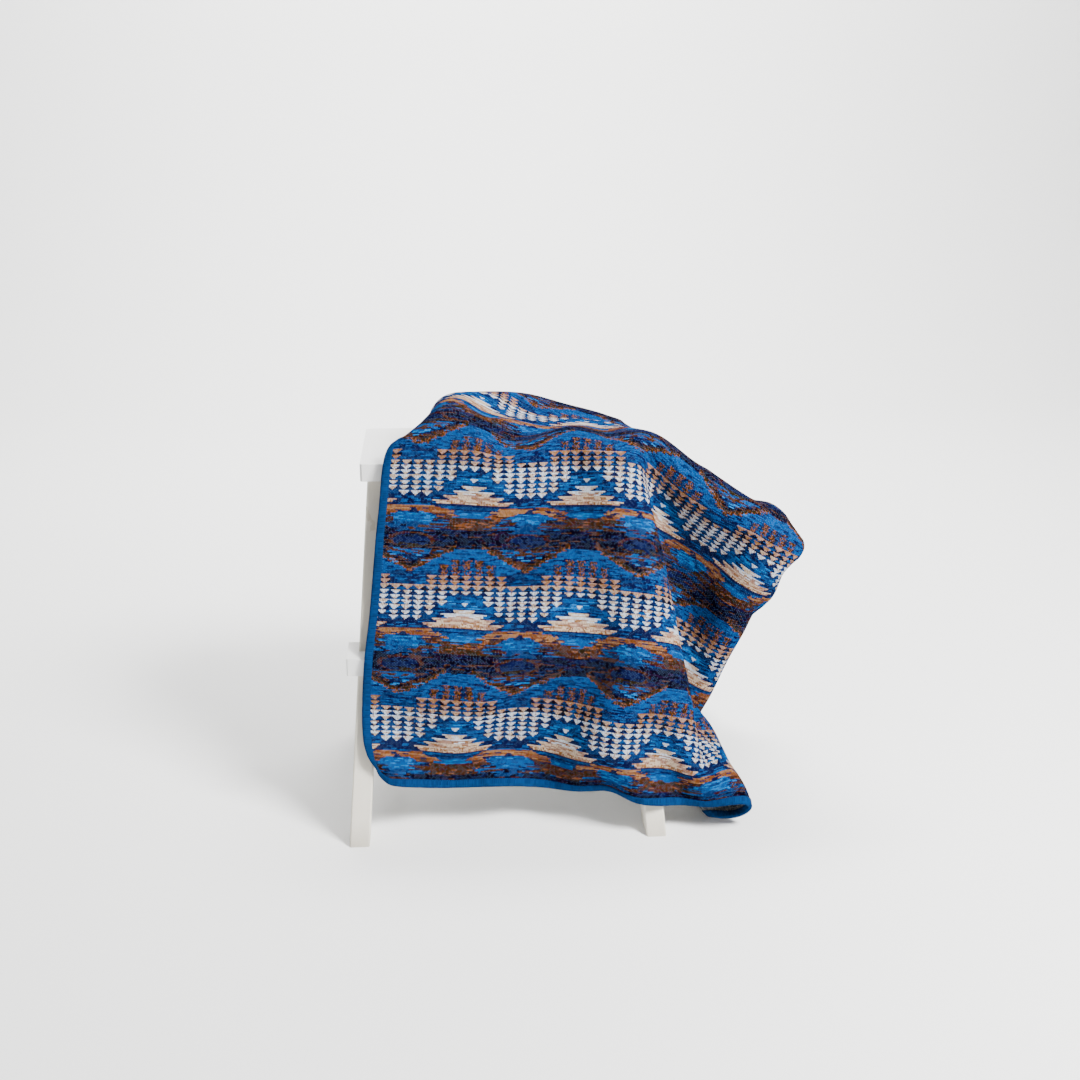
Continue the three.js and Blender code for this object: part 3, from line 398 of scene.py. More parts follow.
def settle(steps=STEPS):
    """Lets the laid net settle while each fold is drawn to its place."""
    net = laid_out()
    before = net.copy()
    u = np.arange(COLUMNS)[:, None] * CELL
    v = np.arange(ROWS)[None, :] * CELL
    folds = []
    for row in FOLDS:
        reach, grip = row[6] or FOLD_REACH, row[7] or FOLD_GRIP
        far = (u - row[1]) ** 2 + (v - row[2]) ** 2
        weight = (np.exp(-far / (2 * reach * reach)) * grip).ravel()
        held = np.nonzero(weight > 0.002)[0]
        index, share = net_weights(row[1], row[2])
        goal = np.array(row[3:6], float)
        folds.append((index, share, goal, share @ net.reshape(-1, 3)[index], held, weight[held][:, None]))
    pairs = None
    for step in range(steps):
        moved = net + (net - before) * CARRY
        moved[..., 2] -= SINK
        before, net = net, moved
        part = min(1, (step + 1) / RAMP_STEPS)
        ease = part * part * (3 - 2 * part)
        last = step >= STEPS - LAST_STEPS
        points = net.reshape(-1, 3)
        for index, share, goal, start, held, weight in folds:
            move = start + (goal - start) * ease - share @ points[index]
            points[held] += move * weight * (0.25 if last else 1)
        for _ in range(4 if last else 2):
            tighten(net)
        if step >= STEPS - PARTING_STEPS:
            if step % LIST_EVERY == 0:
                pairs = near_pairs(net)
            part_layers(net, pairs)
        if last:
            lay_between(net)
        for board in RESTS:
            lay_on(net, before, board)
        np.maximum(net[..., 2], FLOOR_OFF, out=net[..., 2])
    return net


def evened(net):
    """Evens out small kinks, then clears the boards again."""
    for _ in range(EVEN_PASSES):
        middle = net.copy()
        inner = (net[:-2, 1:-1] + net[2:, 1:-1] + net[1:-1, :-2] + net[1:-1, 2:]) / 4
        middle[1:-1, 1:-1] = inner
        middle[[0, -1], 1:-1] = (net[[0, -1], :-2] + net[[0, -1], 2:]) / 2
        middle[1:-1, [0, -1]] = (net[:-2, [0, -1]] + net[2:, [0, -1]]) / 2
        net = net + (middle - net) * EVEN_SHARE
    for _ in range(CLEARING_PASSES):
        lay_between(net)
        for board in RESTS:
            lay_on(net, net.copy(), board)
    return net


def padded_net(net):
    """The net with one row carried on past each side."""
    net = np.concatenate([2 * net[:1] - net[1:2], net, 2 * net[-1:] - net[-2:-1]], 0)
    return np.concatenate([2 * net[:, :1] - net[:, 1:2], net, 2 * net[:, -1:] - net[:, -2:-1]], 1)


def cloth_points(wide_net, u, v):
    """Points of the smooth cloth at the places (u, v), from the padded net."""
    s = np.clip(u / CELL, 0, COLUMNS - 1)
    t = np.clip(v / CELL, 0, ROWS - 1)
    i = np.minimum(s.astype(int), COLUMNS - 2)
    j = np.minimum(t.astype(int), ROWS - 2)

    def shares(x):
        return (
            0.5 * (-x + 2 * x**2 - x**3),
            0.5 * (2 - 5 * x**2 + 3 * x**3),
            0.5 * (x + 4 * x**2 - 3 * x**3),
            0.5 * (-(x**2) + x**3),
        )

    wide, long = shares(s - i), shares(t - j)
    total = 0
    for di in range(4):
        for dj in range(4):
            total = total + wide_net[i + di, j + dj] * (wide[di] * long[dj])[..., None]
    return total


def cloth_normals(wide_net, u, v):
    """Unit normals of the smooth cloth, on its face side."""
    d = 3.0
    along_u = cloth_points(wide_net, u + d, v) - cloth_points(wide_net, u - d, v)
    along_v = cloth_points(wide_net, u, v + d) - cloth_points(wide_net, u, v - d)
    normal = np.cross(along_u, along_v)
    return normal / np.linalg.norm(normal, axis=-1, keepdims=True)


# Meshes of the throw

# Soft creases of the cloth: from one place to another (mm), half width and depth of the trough.
CREASES = [
    ("dent down the front panel", 232, 410, 226, 150, 26, 2.2),
    ("hollow beside the ridge", 352, 420, 372, 250, 16, 1.6),
    ("hollow over the left edge", 40, 440, 30, 330, 14, 1.0),
    ("sag over the step's edge", 90, 205, 330, 200, 12, 1.1),
    ("pull from the slab's corner", 396, 470, 330, 380, 10, 1.0),
    ("fine crease on the wing", 600, 500, 636, 400, 9, 1.2),
    ("fine crease by the wing's edge", 680, 470, 668, 380, 9, 1.0),
    ("crease up the crown", 150, 520, 128, 610, 12, 1.2),
    ("crease across the roll", 210, 500, 300, 540, 14, 1.0),
]


def even_lines(size, insets, cell):
    """Grid lines across the cloth: the insets at both sides and even cells between them."""
    count = round((size - 2 * CORNER_RADIUS) / cell)
    middle = np.linspace(CORNER_RADIUS, size - CORNER_RADIUS, count + 1)[1:-1]
    return np.concatenate([insets, middle, size - np.array(insets)[::-1]])


def rounded(u, v):
    """Rounds the throw's corners: square rings inside each corner square become arcs."""

    def past(value, size):
        low = np.maximum(CORNER_RADIUS - value, 0)
        high = np.maximum(value - size + CORNER_RADIUS, 0)
        return low + high, np.where(low > 0, -1, 1), np.clip(value, CORNER_RADIUS, size - CORNER_RADIUS)

    x, side_u, base_u = past(u, WIDTH)
    y, side_v, base_v = past(v, LENGTH)
    corner = (x > 0) & (y > 0)
    ring = np.maximum(x, y)
    big = np.where(ring > 0, ring, 1)
    quarter = math.pi / 4
    angle = np.where(x >= y, quarter * y / big, 2 * quarter - quarter * x / big)
    ru = np.where(corner, base_u + side_u * ring * np.cos(angle), u)
    rv = np.where(corner, base_v + side_v * ring * np.sin(angle), v)
    return ru, rv


def crease_drop(u, v):
    """How far the listed creases sink the cloth's face at each place, in mm."""
    drop = np.zeros_like(u)
    for _, u0, v0, u1, v1, half, depth in CREASES:
        run = np.hypot(u1 - u0, v1 - v0)
        along = ((u - u0) * (u1 - u0) + (v - v0) * (v1 - v0)) / run
        aside = ((u - u0) * (v1 - v0) - (v - v0) * (u1 - u0)) / run
        beyond = np.maximum(np.maximum(-along, along - run), 0)
        drop += depth * np.exp(-(aside**2) / (2 * half**2) - beyond**2 / (2 * (2 * half) ** 2))
    return drop


def to_row_frame(points):
    """From mm about the slab's front edge to metres in the model's frame."""
    low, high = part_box("top_slab")
    origin = np.array([(low[0] + high[0]) / 2, low[1], 0])
    return points / 1000 + origin


def mesh_piece(name, points, faces, uv, materials, slots=None):
    """A finished mesh object from points in mm, with one cloth coordinate for each point."""
    mesh = bpy.data.meshes.new(name)
    mesh.from_pydata(to_row_frame(points).tolist(), [], faces)
    layer = mesh.uv_layers.new(name="cloth")
    corners = np.empty(len(mesh.loops), int)
    mesh.loops.foreach_get("vertex_index", corners)
    layer.data.foreach_set("uv", uv[corners].astype(np.float32).ravel())
    for material in materials:
        mesh.materials.append(material)
    if slots is not None:
        mesh.polygons.foreach_set("material_index", slots)
    mesh.polygons.foreach_set("use_smooth", [True] * len(mesh.polygons))
    mesh.update()
    mesh.validate()
    piece = bpy.data.objects.new(name, mesh)
    bpy.context.scene.collection.objects.link(piece)
    return piece


def rim_of(wide, long):
    """Grid places round the rim, seen from the face."""
    walk = [(i, 0) for i in range(wide - 1)]
    walk += [(wide - 1, j) for j in range(long - 1)]
    walk += [(i, long - 1) for i in range(wide - 1, 0, -1)]
    walk += [(0, j) for j in range(long - 1, 0, -1)]
    return walk


UV_SIZE = 1100.0


def throw_cloth(net, face, reverse):
    """The cloth itself: a thin closed sheet with rounded corners."""
    insets = [2, 7, 12, 16.5, 21, 25.5, 30, 34, 38, CORNER_RADIUS]
    lines_u = even_lines(WIDTH, insets, 4.65)
    lines_v = even_lines(LENGTH, insets, 4.65)
    u, v = rounded(*np.meshgrid(lines_u, lines_v, indexing="ij"))
    middle = cloth_points(net, u, v)
    normal = cloth_normals(net, u, v)
    middle = middle - normal * crease_drop(u, v)[..., None]
    wide, long = u.shape
    points = np.concatenate([(middle + side * THICK / 2 * normal).reshape(-1, 3) for side in (1, -1)])
    number = np.arange(wide * long).reshape(wide, long)
    quads = np.stack([number[:-1, :-1], number[1:, :-1], number[1:, 1:], number[:-1, 1:]], -1).reshape(-1, 4)
    rim = [i * long + j for i, j in rim_of(wide, long)]
    under = wide * long
    edge = [[a, a + under, b + under, b] for a, b in zip(rim, rim[1:] + rim[:1])]
    faces = quads.tolist() + (quads[:, ::-1] + under).tolist() + edge
    slots = [0] * len(quads) + [1] * (len(quads) + len(edge))
    uv = np.stack([u.ravel(), v.ravel()], 1) / UV_SIZE
    return mesh_piece("throw_cloth", points, faces, np.concatenate([uv, uv]), [face, reverse], slots)


def rim_stations(pitch):
    """Places on the cut edge, the way in from each, and how far round each lies (mm)."""
    radius = CORNER_RADIUS
    base, inward, walked = [], [], []
    far = 0.0
    corners = [
        ((radius, radius), (WIDTH - radius, radius), (0, 1), -0.5),
        ((WIDTH - radius, radius), (WIDTH - radius, LENGTH - radius), (-1, 0), 0),
        ((WIDTH - radius, LENGTH - radius), (radius, LENGTH - radius), (0, -1), 0.5),
        ((radius, LENGTH - radius), (radius, radius), (1, 0), 1),
    ]
    for start, end, into, turn in corners:
        start, end, into = np.array(start, float), np.array(end, float), np.array(into, float)
        side = np.hypot(*(end - start))
        count = 2 * round(side / pitch / 2)
        for n in range(count):
            base.append(start + (end - start) * n / count - into * radius)
            inward.append(into)
            walked.append(far + side * n / count)
        far += side
        arc = radius * math.pi / 2
        count = 2 * round(arc / pitch / 2)
        for n in range(count):
            angle = turn * math.pi + math.pi / 2 * n / count
            out = np.array([math.cos(angle), math.sin(angle)])
            base.append(end + out * radius)
            inward.append(-out)
            walked.append(far + arc * n / count)
        far += arc
    return np.array(base), np.array(inward), np.array(walked)


def throw_binding(net, look, deep, rib):
    """The woven binding: a folded strip round the rim, ribbed across, with a picot inner edge."""
    base, inward, walked = rim_stations(1.3)
    inner, outer = THICK / 2 + 0.3, 3.2
    half = [
        (1.7, inner, 0, 0),
        (deep - 0.2, inner, 0, 0),
        (deep, inner + 0.5, 1, 0),
        (deep - 0.4, outer - 0.4, 1, 0.5),
        (deep - 1.4, outer, 1, 1),
        (6.6, outer, 0, 1),
        (2.8, outer, 0, 1),
        (1.1, outer - 0.7, 0, 1),
        (0.25, outer - 1.9, 0, 0.6),
        (0.0, 0.0, 0, 0.4),
    ]
    section = half + [(d, -off, tooth, -high) for d, off, tooth, high in half[-2::-1]]
    odd = np.arange(len(base)) % 2
    rings = []
    uv = []
    for n, (d, off, tooth, high) in enumerate(section):
        depth = d - odd * tooth * 1.1
        place = base + inward * depth[:, None]
        middle = cloth_points(net, place[:, 0], place[:, 1])
        normal = cloth_normals(net, place[:, 0], place[:, 1])
        rings.append(middle + normal * (off - high * rib * odd)[:, None])
        uv.append(np.stack([walked, np.full(len(base), n * 1.6)], 1) / UV_SIZE / 4)
    points = np.stack(rings, 1).reshape(-1, 3)
    uv = np.stack(uv, 1).reshape(-1, 2)
    count, stations = len(section), len(base)
    number = np.arange(stations * count).reshape(stations, count)
    after = np.roll(number, -1, 0)
    quads = np.stack([number, np.roll(number, -1, 1), np.roll(after, -1, 1), after], -1).reshape(-1, 4)
    return mesh_piece("throw_binding", points, quads.tolist(), uv, [look])


# Shader sums


class Reading:
    """A number that changes over a surface, for plain sums in Python."""

    def __init__(self, book, socket):
        self.book = book
        self.socket = socket

    def _sum(self, kind, *values):
        return self.book.number(kind, *values)

    def __add__(self, other):
        return self._sum("ADD", self, other)

    __radd__ = __add__

    def __sub__(self, other):
        return self._sum("SUBTRACT", self, other)

    def __rsub__(self, other):
        return self._sum("SUBTRACT", other, self)

    def __mul__(self, other):
        return self._sum("MULTIPLY", self, other)

    __rmul__ = __mul__

    def __truediv__(self, other):
        return self._sum("DIVIDE", self, other)

    def __rtruediv__(self, other):
        return self._sum("DIVIDE", other, self)

    def __pow__(self, other):
        return self._sum("POWER", self, other)

    def __abs__(self):
        return self._sum("ABSOLUTE", self)

    def __lt__(self, other):
        return self._sum("LESS_THAN", self, other)

    def __gt__(self, other):
        return self._sum("GREATER_THAN", self, other)

    def floor(self):
        return self._sum("FLOOR", self)

    def part(self):
        """What is left after the whole number."""
        return self._sum("FRACT", self)

    def sine(self):
        return self._sum("SINE", self)

    def least(self, other):
        return self._sum("MINIMUM", self, other)

    def most(self, other):
        return self._sum("MAXIMUM", self, other)

    def to_and_fro(self, reach):
        return self._sum("PINGPONG", self, reach)

    def again(self, low, high):
        """The value carried back between low and high."""
        return self._sum("WRAP", self, high, low)

    def between(self, low, high):
        return (self > low) * (self < high)


class Recipe:
    """The node tree of one finish."""

    def __init__(self, name, **fixed):
        self.material = bpy.data.materials.new(name)
        self.material.use_nodes = True
        self.tree = self.material.node_tree
        self.shader = self.tree.nodes["Principled BSDF"]
        for socket, value in fixed.items():
            self.shader.inputs[socket.replace("_", " ")].default_value = value

    def node(self, kind, settings=None, **values):
        """One node: its settings first, then the values or links of its sockets."""
        made = self.tree.nodes.new(kind)
        for key, value in (settings or {}).items():
            setattr(made, key, value)
        for key, value in values.items():
            self.link(made.inputs[int(key[1:])] if key[1:].isdigit() else made.inputs[key], value)
        return made

    def link(self, socket, value):
        if isinstance(value, Reading):
            value = value.socket
        if isinstance(value, bpy.types.NodeSocket):
            self.tree.links.new(value, socket)
        else:
            socket.default_value = value

    def number(self, kind, *values):
        made = self.node("ShaderNodeMath", {"operation": kind})
        for socket, value in zip(made.inputs, values):
            self.link(socket, value)
        return Reading(self, made.outputs[0])

    def coordinates(self, layer=None):
        """Three readings: the cloth's own coordinates, or the place in the model in metres."""
        if layer:
            found = self.node("ShaderNodeUVMap", {"uv_map": layer}).outputs["UV"]
        else:
            found = self.node("ShaderNodeTexCoord").outputs["Object"]
        apart = self.node("ShaderNodeSeparateXYZ", i0=found)
        return [Reading(self, out) for out in apart.outputs]

    def joined(self, x, y, z=0.0):
        made = self.node("ShaderNodeCombineXYZ", i0=x, i1=y, i2=z)
        return made.outputs[0]

    def chance(self, x, y, z=0.0):
        """A steady random number for each whole x, y, z."""
        made = self.node("ShaderNodeTexWhiteNoise", {"noise_dimensions": "3D"}, i0=self.joined(x, y, z))
        return Reading(self, made.outputs["Value"])

    def cloud(self, x, y, z, scale, detail=2.0):
        made = self.node("ShaderNodeTexNoise", Vector=self.joined(x, y, z), Scale=scale, Detail=detail)
        return Reading(self, made.outputs["Fac"])

    def mixed(self, under, over, share):
        """One colour laid over another by a share."""
        made = self.node("ShaderNodeMix", {"data_type": "RGBA"}, i0=share, i6=under, i7=over)
        return made.outputs[2]

    def dimmed(self, colour, share):
        made = self.node("ShaderNodeVectorMath", {"operation": "SCALE"}, i0=colour, Scale=share)
        return made.outputs[0]

    def finish(self, colour, roughness=None, height=None, relief=0.0002, strength=1.0):
        self.link(self.shader.inputs["Base Color"], colour)
        if roughness is not None:
            self.link(self.shader.inputs["Roughness"], roughness)
        if height is not None:
            bump = self.node("ShaderNodeBump", Strength=strength, Distance=relief, Height=height)
            self.tree.links.new(bump.outputs[0], self.shader.inputs["Normal"])
        return self.material


def ink(code):
    """A yarn or paint colour from its web code."""
    parts = [int(code[n : n + 2], 16) / 255 for n in (0, 2, 4)]
    return tuple(p / 12.92 if p <= 0.04045 else ((p + 0.055) / 1.055) ** 2.4 for p in parts) + (1.0,)


# Yarns of the weave, as they lie before the studio's bright light lifts them.
# The codes were worked out by a program from the colours chosen.
YARNS = dict(
    bright="03376C", mid="07244D", navy="090D30", dark="060310", purple="1A0921",
    maroon="2E0F10", brown="361D0C", olive="241B0B", orange="5D3418", tan="755030",
    pink="886758", cream="A28D77", white="A3AAB3", cyan="075896", fleck="678AAE",
)

WALE, COURSE = 1.025, 1.75
REPEAT_WIDE, REPEAT_HIGH = 164.0, 179.5
TOOTH_WIDE, TOOTH_HIGH = 16.4, 7.4
# Where a white block's middle and a row's start lie on the cloth, and heights below that start.
BLOCK_MIDDLE, ROW_PLACE = 50, 115
PYRAMID_TOP, TIER_HIGH = 33, 6.8
BAND_TOP, BAND_FOOT = 98, 123.5
# Rows of teeth on each column out from the white block's middle: lowest and highest.
TOOTH_ROWS = [(0, -6, 1), (1, -6, 1), (2, -5, 3), (3, -3, 5), (4, -1, 6), (5, -1, 6)]


def woven_pattern(recipe, ink_of, u, v):
    """The geometric weave: the colour at each cloth place (mm)."""
    wale = (u / WALE).floor()
    course = (v / COURSE).floor()
    across = (wale + 0.5) * WALE
    up = (course + 0.5) * COURSE
    a = (across - BLOCK_MIDDLE).to_and_fro(REPEAT_WIDE / 2)
    down = (ROW_PLACE - up).again(-48, REPEAT_HIGH - 48)
    below = (ROW_PLACE - up).again(0, REPEAT_HIGH)
    # Dashes of yarn, nine and twenty-two millimetres long, shifted from course to course.
    shift = recipe.chance(course, 3.0)
    dash = recipe.chance((u / 9 + shift * 7).floor(), course)
    long_dash = recipe.chance((u / 22 + shift * 5).floor(), (course / 2).floor(), 7.0)
    grain = recipe.chance(wale, course, 1.0)
    # Edges of the big shapes step in and out along the courses.
    step = recipe.chance((course / 2 + 0.5).floor(), (across / 82).floor(), 9.0) - 0.5
    ragged = abs(a + step * 13 + (shift - 0.5) * 6)
    far = REPEAT_WIDE / 2 - ragged
    b = REPEAT_WIDE / 2 - a
    colour = ink_of("bright")

    def lay(yarn, share):
        nonlocal colour
        colour = recipe.mixed(colour, ink_of(yarn), share)

    # Blue ground, with darker courses beside the white block and below the scallop.
    lay("mid", dash < 0.38)
    lay("navy", dash.between(0.3, 0.42))
    lay("navy", dash.between(0.3, 0.6) * down.between(8, 17))
    lay("mid", (ragged < 30) * down.between(-22, -2) * (dash < 0.8))
    lay("navy", (ragged < 28) * down.between(-22, -2) * dash.between(0.3, 0.68))
    lay("cyan", dash.between(0.62, 0.78) * down.between(17, 33))
    # Dark ground under the white block.
    lay("mid", (ragged < 46) * down.between(42, 61) * (dash < 0.85))
    lay("navy", (ragged < 42 - (down - 50) * 0.6) * down.between(47, 61) * (dash < 0.8))
    # Teeth: rows of light triangles that point down.
    column = (a / TOOTH_WIDE + 0.5).floor()
    aside = abs((a / TOOTH_WIDE + 0.5).part() - 0.5) * TOOTH_WIDE
    climb = (5.05 - down) / TOOTH_HIGH
    row = climb.floor()
    rise = climb - row
    lowest, highest = 0, 0
    for number, low, high in TOOTH_ROWS:
        here = column.between(number - 0.5, number + 0.5)
        lowest = lowest + here * low
        highest = highest + here * high
    on_teeth = (row > lowest - 0.5) * (row < highest - 0.5)
    tooth = (aside < rise * 8.4 - 0.6 + (row > 2.5) * (3.2 - rise * 4.2)) * on_teeth
    gap = on_teeth * (1 - tooth)
    lay("navy", gap * (dash < 0.45))
    lay("dark", gap * row.between(-0.5, 2.5) * (dash < 0.5))
    lay("mid", gap * (dash > 0.6))
    lay("brown", tooth * (dash < 0.8))
    lay("olive", tooth * (row > 2.5) * (grain < 0.3))
    lay("mid", tooth * (row > 2.5) * dash.between(0.4, 0.6))
    lay("orange", tooth * (row > 2.5) * (grain > 0.72))
    lay("tan", tooth * row.between(-0.5, 2.5))
    lay("pink", tooth * row.between(-0.5, 2.5) * (dash < 0.5))
    lay("white", tooth * (row < -0.5))
    lay("cream", tooth * (row < -0.5) * (dash < 0.3))
    lay("pink", tooth * (row < -0.5) * (grain < 0.12))
    lay("cream", tooth * row.between(-0.5, 0.5) * (grain < 0.5))
    # Small triangle over the pyramid.
    lay("white", (b < 4.8 * (28.5 - down) / 5) * down.between(23, 28.5))
    # Pyramid: four tiers, each wider than the last, tapering to its lower side.
    tier = ((down - PYRAMID_TOP) / TIER_HIGH).floor()
    sunk = (down - PYRAMID_TOP) / TIER_HIGH - tier
    half = 18 + tier * 13.3
    on_pyramid = down.between(PYRAMID_TOP, 60.2)
    lay("navy", on_pyramid * (b < half + 9) * (sunk > 0.25) * (b > half - 14) * (dash < 0.7))
    body = on_pyramid * (b < half - sunk * 11 + (shift - 0.5) * 3)
    lay("cream", body)
    lay("pink", body * (tier > 0.5) * (dash < 0.5))
    lay("tan", body * (tier > 0.5) * (b < half - 12) * dash.between(0.4, 0.55))
    lay("tan", body * (tier > 2.5) * (grain < 0.35))
    lay("white", body * (sunk < 0.36) * tier.between(0.5, 1.5))
    lay("white", body * (tier < 1.5) * (dash > 0.7))
    lay("cream", body * (sunk < 0.3) * (tier > 1.5) * (dash > 0.3))
    # Below the pyramid: dark lines and a blue field narrowing down.
    lay("mid", down.between(60, 73) * (b < 62 - (down - 60) * 2.4) * (dash < 0.8))
    lay("navy", down.between(60, 62.6) * (far < 56))
    lay("navy", down.between(65.5, 67.5) * (far < 46) * (dash < 0.8))
    # Zigzag, orange at its top and brown at its foot.
    middle = 64.5 + (ragged - 20).most(0) * 0.42
    on_zigzag = (abs(down - middle) < 8 + (ragged > 50) * 2.5) * (down > 62.6)
    lay("orange", on_zigzag)
    lay("tan", on_zigzag * (down < 75) * (long_dash < 0.5))
    lay("navy", on_zigzag * (down < 80) * dash.between(0.66, 0.8))
    lay("brown", on_zigzag * (down > 73) * (dash < 0.5))
    lay("brown", on_zigzag * (down > 80) * (dash < 0.85))
    lay("maroon", on_zigzag * (down > 78) * dash.between(0.2, 0.32))
    lay("olive", on_zigzag * (down > 80) * dash.between(0.4, 0.6))
    # Blue field between the zigzag's feet, and a blue diamond under its top.
    lay("bright", down.between(71, 82) * (far < 30 - (down - 71) * 1.5))
    lay("cyan", down.between(71, 82) * (far < 26 - (down - 71) * 1.5) * (dash < 0.25))
    diamond = (ragged < 27 - abs(down - 80) * 1.1) * down.between(71, 91)
    lay("bright", diamond)
    lay("cyan", diamond * (dash < 0.22))
    lay("mid", diamond * (dash > 0.75))
    lay("navy", (a < 9 - (73.5 - down) * 1.1) * down.between(67, 73.5))
    # Streaky band below it.
    streaks = down.between(80, 101) * (1 - on_zigzag) * (1 - diamond)
    lay("navy", streaks * (dash < 0.42))
    lay("dark", streaks * (dash > 0.86))
    lay("brown", streaks * long_dash.between(0.3, 0.56))
    lay("maroon", streaks * long_dash.between(0.56, 0.62))
    lay("olive", streaks * long_dash.between(0.62, 0.74))
    lay("mid", streaks * (long_dash > 0.86))
    foot = (far < 31) * down.between(79, 95)
    lay("brown", foot * (dash < 0.7))
    lay("olive", foot * (dash < 0.25))
    lay("maroon", foot * dash.between(0.7, 0.8))
    # Dark band, with a lens at its middle.
    band = (down + (shift - 0.5) * 5).between(BAND_TOP, BAND_FOOT)
    lay("dark", band)
    lay("navy", band * dash.between(0.2, 0.42))
    lay("purple", band * dash.between(0.74, 0.84))
    lay("brown", band * long_dash.between(0.1, 0.22) * (dash > 0.4))
    lay("mid", (ragged < 24 - (100 - down) * 1.3) * down.between(88, 101) * (dash < 0.8))
    ring = (a / 32) ** 2 + ((down - 112.5) / 11.5) ** 2
    on_ring = ring.between(0.66, 1.05) * (down > 100)
    lay("brown", on_ring * (dash < 0.45))
    lay("maroon", on_ring * (down < 112) * (dash > 0.6))
    lay("navy", (ring < 0.66) * (dash > 0.45))
    lay("olive", (ring < 0.8) * (down > 117) * (dash < 0.6))
    # Ground between the lens and the scallop.
    between = below.between(BAND_FOOT, 152)
    lay("navy", between * (ragged < 60 - (below - 123) * 2.0) * (dash < 0.55))
    lay("mid", between * (ragged < 56 - (below - 123) * 2.0) * dash.between(0.5, 0.7))
    lay("brown", between * (abs(below - 129 + (a / 34) ** 2 * 6) < 4) * (ragged < 44) * (dash < 0.6))
    lay("cyan", (ragged < 36 - abs(below - 138) * 1.8) * below.between(133, 145) * (dash > 0.78))
    lay("bright", (far < 30) * below.between(BAND_FOOT, 136) * (dash > 0.3))
    # Scallop, hanging from band to band.
    hang = below - (149.5 - 27.5 * (a / 55) ** 1.15) + (dash - 0.5) * 5
    on_scallop = (abs(hang) < 7 - a * 0.03) * (a < 64)
    lay("brown", on_scallop * (dash < 0.9))
    lay("olive", on_scallop * (dash < 0.4))
    lay("orange", on_scallop * (hang > 2) * (grain > 0.6))
    lay("dark", on_scallop * (hang < -2.5) * (dash < 0.6))
    # Flecks of light and dark yarn in each cell.
    twill = (((wale + course * 2) / 4).part() < 0.2) * (grain > 0.35)
    in_band = below.between(80, 128)
    light = twill * (0.12 + in_band * 0.02)
    colour = recipe.mixed(colour, ink_of("fleck"), light)
    depth = ((wale + course) / 3).part() < 0.3
    colour = recipe.mixed(colour, ink_of("dark"), depth * (grain < 0.6) * 0.4)
    shade = 0.7 + grain * 0.36 + dash * 0.2
    return recipe.dimmed(colour, shade), grain




def yarn_reader(settings):
    """Colours of the yarns, the ground and the binding as the panel has them."""

    def ink_of(yarn):
        if yarn == "bright":
            return tuple(settings.ground)
        if yarn == "brown":
            return tuple(settings.earth)
        return ink(YARNS[yarn])

    return ink_of


def woven_face(settings):
    """The throw's face: the jacquard pattern with its fine courses standing up."""
    recipe = Recipe("woven_face", Roughness=0.9, Specular_IOR_Level=0.0)
    u, v, _ = recipe.coordinates("cloth")
    u, v = u * UV_SIZE, v * UV_SIZE
    colour, grain = woven_pattern(recipe, yarn_reader(settings), u, v)
    ribs = (v * (2 * math.pi / COURSE)).sine() * 0.5
    knots = (u * (math.pi / WALE)).sine() * 0.35
    height = ribs + knots + grain * 0.5
    rough = 0.8 + grain * 0.15
    return recipe.finish(colour, rough, height, settings.relief * 0.5)


def woven_reverse(settings):
    """The throw's back: pale floats with the pattern's blue showing through."""
    recipe = Recipe("woven_reverse", Roughness=0.9, Specular_IOR_Level=0.0)
    u, v, _ = recipe.coordinates("cloth")
    u, v = u * UV_SIZE, v * UV_SIZE
    wale, course = (u / WALE).floor(), (v / COURSE).floor()
    grain = recipe.chance(wale, course, 4.0)
    dash = recipe.chance((u / 8).floor(), course, 5.0)
    patch = recipe.cloud(u / 60, v / 30, 0.0, 1.0)
    colour = recipe.mixed(ink("676B72"), ink("42444B"), dash)
    colour = recipe.mixed(colour, ink("283D59"), (patch > 0.56) * 0.5)
    colour = recipe.mixed(colour, ink("8C8983"), (grain > 0.7) * 0.6)
    height = (v * (2 * math.pi / COURSE)).sine() + grain
    return recipe.finish(colour, 0.82 + grain * 0.14, height, settings.relief * 0.5)


def binding_look(settings):
    """Ribbed edge binding in bright blue, with painted shade in the troughs between the ribs."""
    recipe = Recipe("ribbed_binding", Roughness=0.7, Specular_IOR_Level=0.03)
    along, deep, _ = recipe.coordinates("cloth")
    along, deep = along * UV_SIZE * 4, deep * UV_SIZE * 4
    rib = (along * (2 * math.pi / 2.6)).sine()
    number = (along / 2.6).floor()
    tone = recipe.chance(number, (deep / 3).floor())
    # Painted shade: the colour darkens towards deep blue where the ribs dip lowest.
    colour = recipe.mixed(tuple(settings.edge), ink("041732"), (1 - rib) * 0.28)
    colour = recipe.mixed(colour, ink("09457E"), tone * 0.3)
    height = rib * 0.6 + tone * 0.4
    return recipe.finish(colour, 0.62 + tone * 0.2, height, 0.0003)


def slab_paint(settings):
    """Satin white paint on the boards: brushed lightly, with faint handling marks."""
    recipe = Recipe("white_board_paint", Roughness=0.4, Specular_IOR_Level=0.45)
    x, y, z = recipe.coordinates()
    brushed = recipe.cloud(x * 6, y * 90, z * 90, 1.0, 3.0)
    mottled = recipe.cloud(x, y, z, 9.0, 4.0)
    colour = recipe.mixed(tuple(settings.board), ink("D2D1CE"), mottled * 0.5)
    return recipe.finish(colour, 0.34 + mottled * 0.16, brushed, 0.00015, 0.5)


